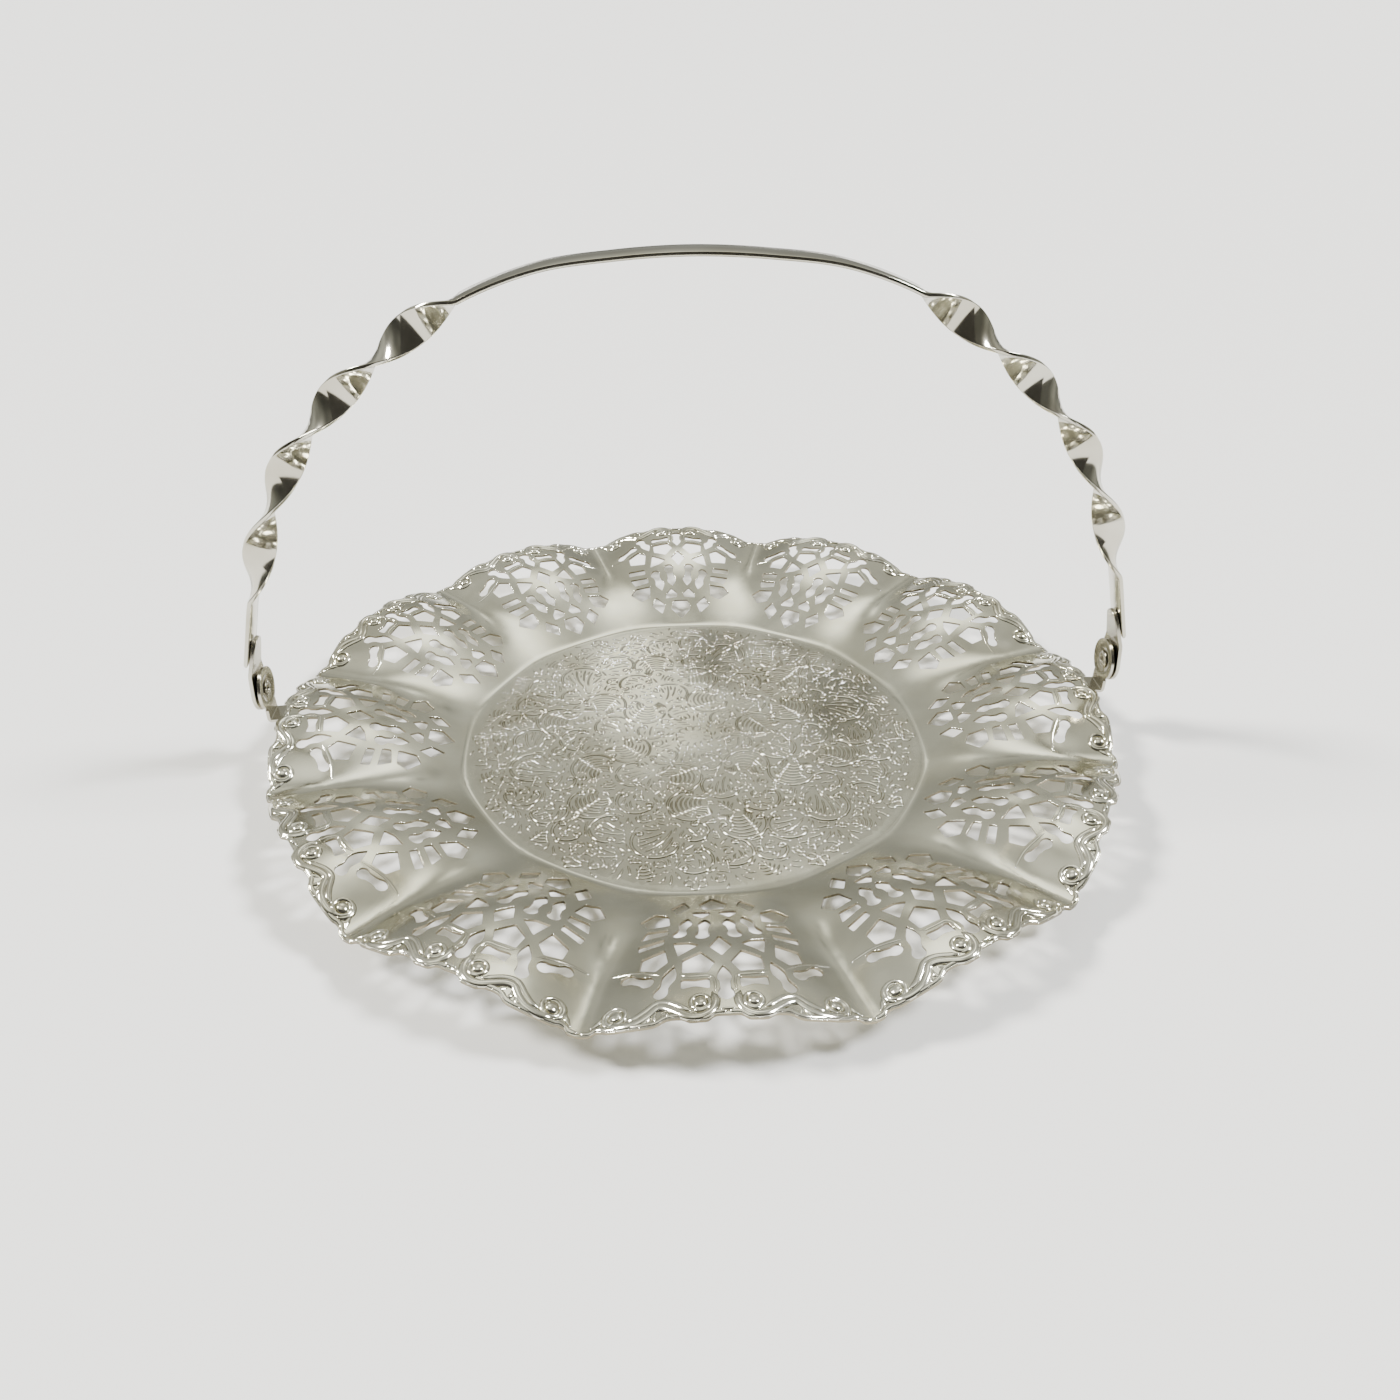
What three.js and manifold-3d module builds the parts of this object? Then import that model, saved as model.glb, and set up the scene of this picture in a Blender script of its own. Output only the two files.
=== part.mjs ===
// A pressed and pierced cake tray with a twisted swing handle.
// Millimetres, +Z up. The tray stands on z = 0 and its handle turns about a line along X.
import * as THREE from "three";
import { mergeVertices } from "three/addons/utils/BufferGeometryUtils.js";
import Module from "manifold-3d";

const wasm = await Module();
wasm.setup();

// Gap that soldered, riveted and turning pieces keep from each other
const JOINT_GAP = 0.3;

// Dish: one sheet with a flat well, a sloping wall and lobes that arch between flutes
const LOBES = 12;
const SHEET = 1.0;
const WELL_RADIUS = 73.4;
const RIM_RADIUS = 130;
const CREST_HEIGHT = 15.4;
const FLUTE_HEIGHT = 8.4;
const CREST_SLOPE = 0.46;
const FLUTE_SLOPE = 0.3;
const FLUTE_SETBACK = 3.6;
const FLUTE_FALL = 0.045;
const WELL_BLEND = 1.5;
const SHOULDER_BLEND = 6.8;
const FLUTE_BLEND = 3;
const LOBE_ARCH = 2.2;
const FLUTE_ROUNDING = 0.12;

// Piercing
const KEYHOLE_WIDTH = 3.5;
const PETAL_WIDTH = 3.5;
const INNER_BAR_WIDTH = 3.2;
const OUTER_BAR_WIDTH = 3;

// Hinges: a lug under the rim, a link plate on the handle and a hollow rivet through both
const PIVOT_RISE = 9;
const HINGE_OFFSET = 2.6;
const EYE_RADIUS = 6.7;
const LUG_THICKNESS = 1.0;
const LUG_DISHING = 0.5;
const LUG_FLAT_RADIUS = 3.3;
const FOOT_WIDTH = 8;
const FOOT_LENGTH = 4;
const LINK_THICKNESS = 1.2;
const LINK_LENGTH = 18.2;
const LINK_TOP_RADIUS = 3.7;
const LINK_LEAN = THREE.MathUtils.degToRad(15);
const BARREL_RADIUS = 1.5;
const BARREL_BORE = 0.9;
const FLANGE_RADIUS = 2.6;
const FLANGE_THICKNESS = 0.5;
const CLINCH_RADIUS = 2.4;
const CLINCH_THICKNESS = 0.5;

// Handle: a flat strip, plain over the crown and twisted on each side
const STRIP_WIDTH = 9;
const STRIP_THICKNESS = 1.3;
const STRIP_OVERLAP = 8.7;
const ARCH_RISE = 124.8;
const TWIST_START = 61;
const TWIST_END = 172;
const TURNS = 2;

const HALF_LOBE = Math.PI / LOBES;
const WELL_FLAT_RADIUS = WELL_RADIUS - WELL_BLEND / CREST_SLOPE;
const RIM_TOP = SHEET + CREST_HEIGHT;
const PIVOT_HEIGHT = RIM_TOP + PIVOT_RISE;
const LINK_INNER_X = RIM_RADIUS + HINGE_OFFSET;
const LINK_OUTER_X = LINK_INNER_X + LINK_THICKNESS;
const LUG_OUTER_X = LINK_INNER_X - JOINT_GAP;
const LUG_INNER_X = LUG_OUTER_X - LUG_THICKNESS;
const LINK_BEND = EYE_RADIUS + JOINT_GAP;
const RIVET_HOLE_RADIUS = BARREL_RADIUS + JOINT_GAP;

const silver = new THREE.MeshStandardMaterial({ color: 0xd3d0c4, roughness: 0.16, metalness: 1 });
const rivetSilver = new THREE.MeshStandardMaterial({ color: 0xb9b6aa, roughness: 0.3, metalness: 1 });

// Joining and cutting closed meshes

function toSolid(geometry) {
  const bare = geometry.clone();
  bare.deleteAttribute("normal");
  bare.deleteAttribute("uv");
  const merged = mergeVertices(bare);
  const mesh = new wasm.Mesh({
    numProp: 3,
    vertProperties: Float32Array.from(merged.attributes.position.array),
    triVerts: Uint32Array.from(merged.index.array),
  });
  return new wasm.Manifold(mesh);
}

function toGeometry(solid) {
  const mesh = solid.getMesh();
  return meshGeometry(mesh.vertProperties, mesh.triVerts);
}

function meshGeometry(positions, indices) {
  const geometry = new THREE.BufferGeometry();
  geometry.setAttribute("position", new THREE.Float32BufferAttribute(positions, 3));
  geometry.setIndex(Array.from(indices));
  return geometry;
}

function named(name, geometry, material) {
  const flat = geometry.toNonIndexed();
  flat.computeVertexNormals();
  const mesh = new THREE.Mesh(flat, material);
  mesh.name = name;
  return mesh;
}

// The dish's surface

function smoothMin(a, b, blend) {
  const overlap = Math.max(blend - Math.abs(a - b), 0) / blend;
  return Math.min(a, b) - (overlap * overlap * blend) / 4;
}

function smoothMax(a, b, blend) {
  return -smoothMin(-a, -b, blend);
}

function crestHeight(radius) {
  const wall = CREST_SLOPE * (radius - WELL_RADIUS);
  return smoothMax(0, smoothMin(wall, CREST_HEIGHT, SHOULDER_BLEND), WELL_BLEND);
}

function fluteHeight(radius) {
  const wall = FLUTE_SLOPE * (radius - WELL_RADIUS - FLUTE_SETBACK);
  const ledge = FLUTE_HEIGHT - FLUTE_FALL * (RIM_RADIUS - radius);
  return smoothMax(0, smoothMin(wall, ledge, FLUTE_BLEND), WELL_BLEND);
}

// Share of the drop from crest to flute: 0 on a lobe's middle line, 1 in the rounded flute
function dropShare(angle) {
  const lobe = Math.round(angle / (2 * HALF_LOBE));
  const across = Math.abs(angle - lobe * 2 * HALF_LOBE) / HALF_LOBE;
  const fromFlute = Math.hypot(1 - across, FLUTE_ROUNDING) - FLUTE_ROUNDING;
  const whole = Math.hypot(1, FLUTE_ROUNDING) - FLUTE_ROUNDING;
  return (1 - fromFlute / whole) ** LOBE_ARCH;
}

function upperPoint(angle, radius) {
  const crest = crestHeight(radius);
  const height = crest - (crest - fluteHeight(radius)) * dropShare(angle);
  return new THREE.Vector3(radius * Math.cos(angle), radius * Math.sin(angle), SHEET + height);
}

function lowerPoint(angle, radius) {
  const step = 0.01;
  const turn = step / radius;
  const outward = upperPoint(angle, radius + step).sub(upperPoint(angle, radius - step));
  const around = upperPoint(angle + turn, radius).sub(upperPoint(angle - turn, radius));
  const normal = outward.cross(around).normalize();
  return upperPoint(angle, radius).addScaledVector(normal, -SHEET);
}

// The piercing of one lobe, drawn flat with the lobe's middle line along +X

// A place on a lobe: across in percent of its half width, out in percent from well to rim
function place(across, out) {
  const angle = (across / 100) * HALF_LOBE;
  const radius = WELL_RADIUS + (out / 100) * (RIM_RADIUS - WELL_RADIUS);
  return new THREE.Vector2(radius * Math.cos(angle), radius * Math.sin(angle));
}

function corners(...places) {
  return places.map(([across, out]) => place(across, out));
}

function sideways(from, to, distance) {
  const along = to.clone().sub(from).normalize();
  return new THREE.Vector2(-along.y, along.x).multiplyScalar(distance);
}

// A round head, a belly as wide and a pointed tip
function keyhole(head, belly, tip, width) {
  const aside = sideways(belly, head, width / 2);
  const top = head.clone().sub(belly).setLength(width / 2).add(head);
  return [
    head.clone().add(aside),
    belly.clone().add(aside),
    tip,
    belly.clone().sub(aside),
    head.clone().sub(aside),
    top,
  ];
}

function bar(from, to, width) {
  const aside = sideways(from, to, width / 2);
  return [
    from.clone().add(aside),
    from.clone().sub(aside),
    to.clone().sub(aside),
    to.clone().add(aside),
  ];
}

const MIDDLE_HOLES = [
  corners([0, 5], [18, 13], [12, 19], [-12, 19], [-18, 13]),
  corners([0, 48], [11, 56], [0, 63], [-11, 56]),
  keyhole(place(0, 85), place(0, 76), place(0, 69), PETAL_WIDTH),
];

const SIDE_HOLES = [
  corners([35, 10], [51, 17], [42, 23], [27, 17]),
  corners([7, 22], [25, 22], [14, 29], [4, 25]),
  keyhole(place(15, 46), place(13, 36), place(12, 31), KEYHOLE_WIDTH),
  keyhole(place(37, 43), place(32, 34), place(30, 28), KEYHOLE_WIDTH),
  corners([51, 25], [67, 22], [81, 30], [71, 35], [48, 34]),
  corners([49, 38], [70, 38], [75, 45], [49, 42]),
  corners([51, 46], [75, 49], [73, 54], [51, 50]),
  corners([49, 55], [68, 59], [68, 67], [54, 69], [45, 65]),
  corners([42, 50], [36, 61], [18, 54], [27, 51]),
  corners([17, 59], [33, 64], [32, 72], [13, 73], [6, 67]),
  keyhole(place(47, 83), place(43, 75), place(39, 67), PETAL_WIDTH),
  bar(place(11, 79), place(33, 79), INNER_BAR_WIDTH),
  bar(place(59, 75), place(75, 72), OUTER_BAR_WIDTH),
];

const mirrored = (hole) => hole.map((point) => new THREE.Vector2(point.x, -point.y)).reverse();

// The rim's scallops from a lobe's middle to the lip of the flute
const MIDDLE_SCALLOP = place(0, 96);
const SIDE_SCALLOPS = corners([10, 96], [19, 98.4], [34, 98], [47, 96.5], [60, 99.3], [87, 99.5], [93, 98.6]);
const LIP_OUT = 101;

// Where the sheet gets a point in the flute and beside it, in percent from well to rim
const FLUTE_STATIONS = [5, 17, 30, 45, 60, 70, 80, 90];
const SHOULDER_STATIONS = [10, 24, 38, 53, 67, 82];
const SHOULDER_ACROSS = 90;
const WELL_STEPS = 6;

// How far a flute's straight run of points is bowed for the triangulation, as a share of its length
const FLUTE_BOW = 0.005;

const onRay = (radius, angle) => new THREE.Vector2(radius * Math.cos(angle), radius * Math.sin(angle));

function lobeOutline() {
  const flute = [0, ...FLUTE_STATIONS, LIP_OUT].map((out) => place(0, out).x);
  const fluteRadii = [WELL_FLAT_RADIUS, ...flute];
  const right = fluteRadii.map((radius) => onRay(radius, -HALF_LOBE));
  const left = fluteRadii.map((radius) => onRay(radius, HALF_LOBE));
  const rim = [...mirrored(SIDE_SCALLOPS), MIDDLE_SCALLOP, ...SIDE_SCALLOPS];
  const well = [];
  for (let i = 1; i < WELL_STEPS; i += 1) {
    well.push(onRay(WELL_FLAT_RADIUS, HALF_LOBE * (1 - (2 * i) / WELL_STEPS)));
  }
  return { right, rim, inward: left.reverse(), well };
}

// Flat triangulation: no long thin faces, so that the bent sheet stays smooth

const areaOf = (a, b, c) => (b.x - a.x) * (c.y - a.y) - (b.y - a.y) * (c.x - a.x);

const edgeKey = (a, b) => (a < b ? `${a}_${b}` : `${b}_${a}`);

function insideCircle(a, b, c, d) {
  const rows = [a, b, c].map((p) => [p.x - d.x, p.y - d.y, (p.x - d.x) ** 2 + (p.y - d.y) ** 2]);
  const [r, s, t] = rows;
  const value =
    r[0] * (s[1] * t[2] - s[2] * t[1]) - r[1] * (s[0] * t[2] - s[2] * t[0]) + r[2] * (s[0] * t[1] - s[1] * t[0]);
  return value > 1e-6;
}

// Splits the face around each loose point into three
function addLoosePoints(points, faces, loose) {
  for (const point of loose) {
    const index = points.push(point) - 1;
    const hit = faces.findIndex(([a, b, c]) =>
      [[a, b], [b, c], [c, a]].every(([p, q]) => areaOf(points[p], points[q], point) > 0));
    const [a, b, c] = faces[hit];
    faces.splice(hit, 1, [a, b, index], [b, c, index], [c, a, index]);
  }
}

function edgesOf(faces) {
  const edges = new Map();
  faces.forEach((face, number) => {
    for (let i = 0; i < 3; i += 1) {
      const key = edgeKey(face[i], face[(i + 1) % 3]);
      edges.set(key, [...(edges.get(key) ?? []), number]);
    }
  });
  return edges;
}

// Turns the edge that two faces share where the other diagonal suits them better
function turnEdges(points, faces, fixed) {
  const touched = new Set();
  for (const [key, pair] of edgesOf(faces)) {
    if (pair.length < 2 || fixed.has(key) || pair.some((number) => touched.has(number))) continue;
    const [first, second] = pair;
    const [p, q] = key.split("_").map(Number);
    const apex = faces[first].find((v) => v !== p && v !== q);
    const other = faces[second].find((v) => v !== p && v !== q);
    const at = faces[first].indexOf(apex);
    const from = faces[first][(at + 1) % 3];
    const to = faces[first][(at + 2) % 3];
    const convex =
      areaOf(points[apex], points[from], points[other]) > 1e-9 &&
      areaOf(points[apex], points[other], points[to]) > 1e-9;
    if (!convex || !insideCircle(points[apex], points[from], points[to], points[other])) continue;
    faces[first] = [apex, from, other];
    faces[second] = [apex, other, to];
    touched.add(first).add(second);
  }
  return touched.size > 0;
}

function counterclockwise(loop) {
  return THREE.ShapeUtils.isClockWise(loop) ? [...loop].reverse() : loop;
}

function triangulate(outline, holes, loose) {
  const points = [...outline, ...holes.flat()];
  const faces = THREE.ShapeUtils.triangulateShape([...outline], holes.map((hole) => [...hole]))
    .map(([a, b, c]) => (areaOf(points[a], points[b], points[c]) > 0 ? [a, b, c] : [a, c, b]));
  const fixed = new Set();
  let start = 0;
  for (const loop of [outline, ...holes]) {
    loop.forEach((_, i) => fixed.add(edgeKey(start + i, start + ((i + 1) % loop.length))));
    start += loop.length;
  }
  addLoosePoints(points, faces, loose);
  for (let pass = 0; pass < 60 && turnEdges(points, faces, fixed); pass += 1);
  return faces;
}

// A straight run of points, bowed to one side so that the triangulation keeps each of them
function bowed(run, distance) {
  const aside = sideways(run[0], run.at(-1), distance);
  return run.map((point, i) => point.clone().addScaledVector(aside, Math.sin((i / (run.length - 1)) * Math.PI)));
}

// The dish: the same lobe all round, over and under, closed by the hole walls and the edge

function makeDish() {
  const { right, rim, inward, well } = lobeOutline();
  const holes = [...MIDDLE_HOLES, ...SIDE_HOLES, ...SIDE_HOLES.map(mirrored)].map(counterclockwise);
  const loose = SHOULDER_STATIONS.flatMap((out) => [place(SHOULDER_ACROSS, out), place(-SHOULDER_ACROSS, out)]);
  const loop = [...right, ...rim, ...inward, ...well];
  const bow = right[0].distanceTo(right.at(-1)) * FLUTE_BOW;
  const drawn = [...bowed(right, bow), ...rim, ...bowed(inward, bow), ...well];
  const points = [...loop, ...holes.flat(), ...loose];
  const faces = triangulate(drawn, holes, loose);

  // The right flute of a lobe is the left flute of the lobe before it
  const leftStart = right.length + rim.length;
  const twinOf = (i) => leftStart + right.length - 1 - i;
  const loopSize = loop.length;
  const positions = [];
  const known = new Map();
  const vertex = (lobe, i, upper) => {
    const shared = i < right.length;
    const home = shared ? (lobe + LOBES - 1) % LOBES : lobe % LOBES;
    const own = shared ? twinOf(i) : i;
    const key = `${home}_${own}_${upper}`;
    if (!known.has(key)) {
      const point = points[own];
      const angle = point.angle() > Math.PI ? point.angle() - 2 * Math.PI : point.angle();
      const turned = angle + home * 2 * HALF_LOBE;
      const spot = upper ? upperPoint(turned, point.length()) : lowerPoint(turned, point.length());
      known.set(key, positions.length / 3);
      positions.push(spot.x, spot.y, spot.z);
    }
    return known.get(key);
  };

  const indices = [];
  const wall = (lobe, a, b) => {
    const [topA, topB] = [vertex(lobe, a, true), vertex(lobe, b, true)];
    const [lowA, lowB] = [vertex(lobe, a, false), vertex(lobe, b, false)];
    indices.push(topA, topB, lowB, topA, lowB, lowA);
  };
  const topCentre = positions.push(0, 0, SHEET) / 3 - 1;
  const lowCentre = positions.push(0, 0, 0) / 3 - 1;
  const wellRing = [leftStart + right.length - 1];
  for (let i = 0; i < well.length; i += 1) wellRing.push(loopSize - well.length + i);
  wellRing.push(0);

  for (let lobe = 0; lobe < LOBES; lobe += 1) {
    for (const [a, b, c] of faces) {
      indices.push(vertex(lobe, a, true), vertex(lobe, b, true), vertex(lobe, c, true));
      indices.push(vertex(lobe, a, false), vertex(lobe, c, false), vertex(lobe, b, false));
    }
    for (let i = right.length - 1; i < leftStart; i += 1) wall(lobe, i + 1, i);
    let start = loopSize;
    for (const hole of holes) {
      for (let i = 0; i < hole.length; i += 1) wall(lobe, start + i, start + ((i + 1) % hole.length));
      start += hole.length;
    }
    for (let i = 0; i + 1 < wellRing.length; i += 1) {
      const [a, b] = [wellRing[i], wellRing[i + 1]];
      indices.push(topCentre, vertex(lobe, b, true), vertex(lobe, a, true));
      indices.push(lowCentre, vertex(lobe, a, false), vertex(lobe, b, false));
    }
  }
  return meshGeometry(positions, indices);
}

// The handle's strip

// The arch: share of the half span and share of the rise, from the crown down
const ARCH_KNOTS = [
  [0, 1], [0.15, 0.992], [0.302, 0.97], [0.463, 0.906], [0.619, 0.797],
  [0.772, 0.652], [0.884, 0.482], [0.962, 0.268],
];

// Middle line of the strip's straight end, which lies on the leaning part of the link plate
function stripEnd(upLink) {
  const toMiddle = LINK_THICKNESS + JOINT_GAP + STRIP_THICKNESS / 2;
  const along = upLink - LINK_BEND;
  return new THREE.Vector3(
    LINK_INNER_X - along * Math.sin(LINK_LEAN) + toMiddle * Math.cos(LINK_LEAN),
    0,
    PIVOT_HEIGHT + LINK_BEND + along * Math.cos(LINK_LEAN) + toMiddle * Math.sin(LINK_LEAN),
  );
}

function archCurve() {
  const knots = ARCH_KNOTS.map(([span, rise]) =>
    new THREE.Vector3(span * LINK_INNER_X, 0, PIVOT_HEIGHT + rise * ARCH_RISE));
  const rightSide = [...knots, stripEnd(LINK_LENGTH), stripEnd(LINK_LENGTH - STRIP_OVERLAP)];
  const leftSide = rightSide.slice(1).reverse().map((p) => new THREE.Vector3(-p.x, 0, p.z));
  return new THREE.CatmullRomCurve3([...leftSide, ...rightSide], false, "centripetal");
}

// Distances from the crown at which the strip gets a section
function stripStations(halfLength) {
  const stations = [];
  const plainSteps = 6;
  const twistSteps = 16 * TURNS;
  for (let i = 1; i <= plainSteps; i += 1) stations.push((i / plainSteps) * TWIST_START);
  for (let i = 1; i <= twistSteps; i += 1) {
    stations.push(TWIST_START + (i / twistSteps) * (TWIST_END - TWIST_START));
  }
  stations.push((TWIST_END + halfLength) / 2, halfLength);
  return [...stations.map((s) => -s).reverse(), 0, ...stations];
}

function stripSection(curve, halfLength, station) {
  const share = (station + halfLength) / (2 * halfLength);
  const centre = curve.getPointAt(share);
  const tangent = curve.getTangentAt(share);
  const twisted = THREE.MathUtils.clamp((Math.abs(station) - TWIST_START) / (TWIST_END - TWIST_START), 0, 1);
  const across = new THREE.Vector3(0, 1, 0).applyAxisAngle(tangent, -2 * Math.PI * TURNS * twisted);
  const through = tangent.clone().cross(across);
  const corner = (w, t) => centre.clone()
    .addScaledVector(across, (w * STRIP_WIDTH) / 2)
    .addScaledVector(through, (t * STRIP_THICKNESS) / 2);
  return [corner(1, 1), corner(-1, 1), corner(-1, -1), corner(1, -1)];
}

function makeStrip() {
  const curve = archCurve();
  curve.arcLengthDivisions = 2000;
  const halfLength = curve.getLength() / 2;
  const sections = stripStations(halfLength).map((station) => stripSection(curve, halfLength, station));
  const positions = sections.flat().flatMap((p) => [p.x, p.y, p.z]);
  const indices = [0, 2, 1, 0, 3, 2];
  for (let ring = 0; ring + 1 < sections.length; ring += 1) {
    for (let side = 0; side < 4; side += 1) {
      const a = ring * 4 + side;
      const b = ring * 4 + ((side + 1) % 4);
      indices.push(a, b + 4, a + 4, a, b, b + 4);
    }
  }
  const last = (sections.length - 1) * 4;
  indices.push(last, last + 1, last + 2, last, last + 2, last + 3);
  return meshGeometry(positions, indices);
}

// The hinges, drawn for the right-hand side

// Extrudes an outline seen from the side (x outward, y up) across the hinge's width
function acrossHinge(points, width) {
  const shape = new THREE.Shape(points.map(([x, y]) => new THREE.Vector2(x, y)));
  const geometry = new THREE.ExtrudeGeometry(shape, { depth: width, bevelEnabled: false });
  geometry.translate(0, 0, -width / 2);
  geometry.rotateX(Math.PI / 2);
  return geometry;
}

// Extrudes an outline seen along X (x toward +Y, y up) from one x to another
function alongX(shape, from, to) {
  const geometry = new THREE.ExtrudeGeometry(shape, { depth: to - from, bevelEnabled: false, curveSegments: 10 });
  const turn = new THREE.Matrix4().makeBasis(
    new THREE.Vector3(0, 1, 0), new THREE.Vector3(0, 0, 1), new THREE.Vector3(1, 0, 0));
  geometry.applyMatrix4(turn);
  geometry.translate(from, 0, 0);
  return geometry;
}

// Turns a closed profile of [radius, x] pairs about the pivot line
function aroundPivot(profile, segments) {
  const closed = [...profile, profile[0]].map(([radius, x]) => new THREE.Vector2(radius, x));
  const geometry = new THREE.LatheGeometry(closed, segments);
  geometry.rotateZ(-Math.PI / 2);
  geometry.translate(0, 0, PIVOT_HEIGHT);
  return geometry;
}

function linkOutline() {
  const reach = LINK_LENGTH - LINK_TOP_RADIUS;
  const lean = Math.asin((EYE_RADIUS - LINK_TOP_RADIUS) / reach);
  const shape = new THREE.Shape();
  shape.absarc(0, PIVOT_HEIGHT + reach, LINK_TOP_RADIUS, lean, Math.PI - lean);
  shape.absarc(0, PIVOT_HEIGHT, EYE_RADIUS, Math.PI - lean, 2 * Math.PI + lean);
  const hole = new THREE.Path();
  hole.absarc(0, PIVOT_HEIGHT, RIVET_HOLE_RADIUS, 0, 2 * Math.PI);
  shape.holes.push(hole);
  return shape;
}

function makeLink() {
  const bottom = PIVOT_HEIGHT - EYE_RADIUS - 1;
  const bend = PIVOT_HEIGHT + LINK_BEND;
  const leaning = LINK_LENGTH + 1 - LINK_BEND;
  const [sine, cosine] = [Math.sin(LINK_LEAN), Math.cos(LINK_LEAN)];
  const topX = LINK_INNER_X - leaning * sine;
  const topZ = bend + leaning * cosine;
  const sideView = [
    [LINK_INNER_X, bottom],
    [LINK_OUTER_X, bottom],
    [LINK_OUTER_X, bend + LINK_THICKNESS * Math.tan(LINK_LEAN / 2)],
    [topX + LINK_THICKNESS * cosine, topZ + LINK_THICKNESS * sine],
    [topX, topZ],
    [LINK_INNER_X, bend],
  ];
  const plate = toSolid(acrossHinge(sideView, 3 * EYE_RADIUS));
  const outline = toSolid(alongX(linkOutline(), LINK_INNER_X - LINK_LENGTH, LINK_OUTER_X + 1));
  return toGeometry(plate.intersect(outline));
}

function makeLug() {
  const dished = aroundPivot([
    [RIVET_HOLE_RADIUS, LUG_OUTER_X],
    [RIVET_HOLE_RADIUS, LUG_INNER_X],
    [LUG_FLAT_RADIUS, LUG_INNER_X],
    [EYE_RADIUS, LUG_INNER_X - LUG_DISHING],
    [EYE_RADIUS, LUG_OUTER_X - LUG_DISHING],
    [LUG_FLAT_RADIUS, LUG_OUTER_X],
  ], 32);
  const inner = LUG_INNER_X - LUG_DISHING;
  const outer = LUG_OUTER_X - LUG_DISHING;
  const footEnd = MIDDLE_SCALLOP.x - FOOT_LENGTH;
  const footTop = lowerPoint(0, footEnd).z - JOINT_GAP;
  const rootHeight = PIVOT_HEIGHT - EYE_RADIUS + LUG_THICKNESS;
  const foot = acrossHinge([
    [inner, rootHeight],
    [inner, footTop],
    [footEnd, footTop],
    [footEnd, footTop - LUG_THICKNESS],
    [outer, footTop - LUG_THICKNESS],
    [outer, rootHeight],
  ], FOOT_WIDTH);
  return toGeometry(toSolid(dished).add(toSolid(foot)));
}

// A hollow rivet along +X: a flange before the plates and a clinched end behind them
function makeRivet(platesFrom, platesTo) {
  const flangeFace = platesFrom - JOINT_GAP;
  const clinchFace = platesTo + JOINT_GAP;
  return aroundPivot([
    [BARREL_BORE, clinchFace + CLINCH_THICKNESS],
    [BARREL_BORE, flangeFace - FLANGE_THICKNESS],
    [FLANGE_RADIUS, flangeFace - FLANGE_THICKNESS],
    [FLANGE_RADIUS, flangeFace],
    [BARREL_RADIUS, flangeFace],
    [BARREL_RADIUS, clinchFace],
    [CLINCH_RADIUS, clinchFace],
    [BARREL_RADIUS, clinchFace + CLINCH_THICKNESS],
  ], 20);
}

function turnedToLeft(geometry) {
  return geometry.clone().rotateZ(Math.PI);
}

const link = makeLink();
const lug = makeLug();
const rightRivet = makeRivet(LUG_INNER_X, LINK_OUTER_X);
const leftRivet = makeRivet(-LINK_OUTER_X, -LUG_INNER_X);

const tray = new THREE.Group();
tray.add(named("dish", makeDish(), silver));
tray.add(named("lug_right", lug, silver));
tray.add(named("lug_left", turnedToLeft(lug), silver));
tray.add(named("eyelet_rivet_right", rightRivet, rivetSilver));
tray.add(named("eyelet_rivet_left", leftRivet, rivetSilver));

const handle = new THREE.Group();
handle.add(named("handle_strip", makeStrip(), silver));
handle.add(named("link_plate_right", link, silver));
handle.add(named("link_plate_left", turnedToLeft(link), silver));
tray.add(handle);

export default tray;
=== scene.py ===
# %% [markdown]
# # A pierced cake tray in silver plate, with a twisted swing handle
#
# The tray is one pressed sheet of base metal under a thin coat of silver. Its middle is a flat,
# engraved well. Twelve lobes rise from it, parted by flutes, and each lobe is pierced with the same
# 29 holes. A flat strip, twisted twice on each side, swings over the tray on two riveted hinges.
#
# The CAD solids fix every size. This file gives them the finish and the fine detail: a denser sheet
# with rounded holes, the raised scrolls of the rim, the engraving, and polished metal to reflect a
# soft studio.

# %% Load the CAD frame
import math
import random

import bmesh
import bpy
from mathutils import Matrix, Vector, geometry, kdtree


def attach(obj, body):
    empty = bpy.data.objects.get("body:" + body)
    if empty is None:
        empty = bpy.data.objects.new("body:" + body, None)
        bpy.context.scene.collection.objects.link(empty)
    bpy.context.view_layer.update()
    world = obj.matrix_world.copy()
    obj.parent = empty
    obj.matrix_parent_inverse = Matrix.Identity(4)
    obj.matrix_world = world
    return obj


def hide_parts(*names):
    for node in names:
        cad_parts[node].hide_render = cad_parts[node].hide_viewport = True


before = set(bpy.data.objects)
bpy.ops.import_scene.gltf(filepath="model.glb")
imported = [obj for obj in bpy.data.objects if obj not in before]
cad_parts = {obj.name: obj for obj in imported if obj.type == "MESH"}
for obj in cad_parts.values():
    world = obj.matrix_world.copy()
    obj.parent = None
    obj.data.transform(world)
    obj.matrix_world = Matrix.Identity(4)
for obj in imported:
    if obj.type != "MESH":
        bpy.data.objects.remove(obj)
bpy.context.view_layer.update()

MM = 0.001

# %% [markdown]
# ## Camera
#
# A real photographer stood in front of the tray and a little above it, with a short lens close by,
# so the near lobes look large. The camera's place was worked out from the twelve equal lobes: their
# middles lie on a circle, and a circle seen at a slant fixes height, distance and lens together.

# %% Place the camera
camera_data = bpy.data.cameras.new("photographer")
camera_data.sensor_width = 36
camera_data.lens = 28.23
camera_data.clip_start = 0.01
camera = bpy.data.objects.new("photographer", camera_data)
bpy.context.scene.collection.objects.link(camera)
camera.location = Vector((-17.02, -290.85, 207.76)) * MM
looking = Vector((0.05433, 0.83254, -0.55130))
camera.rotation_euler = looking.to_track_quat("-Z", "Y").to_euler()
bpy.context.scene.camera = camera
print("camera at", [round(c, 3) for c in camera.location])

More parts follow.
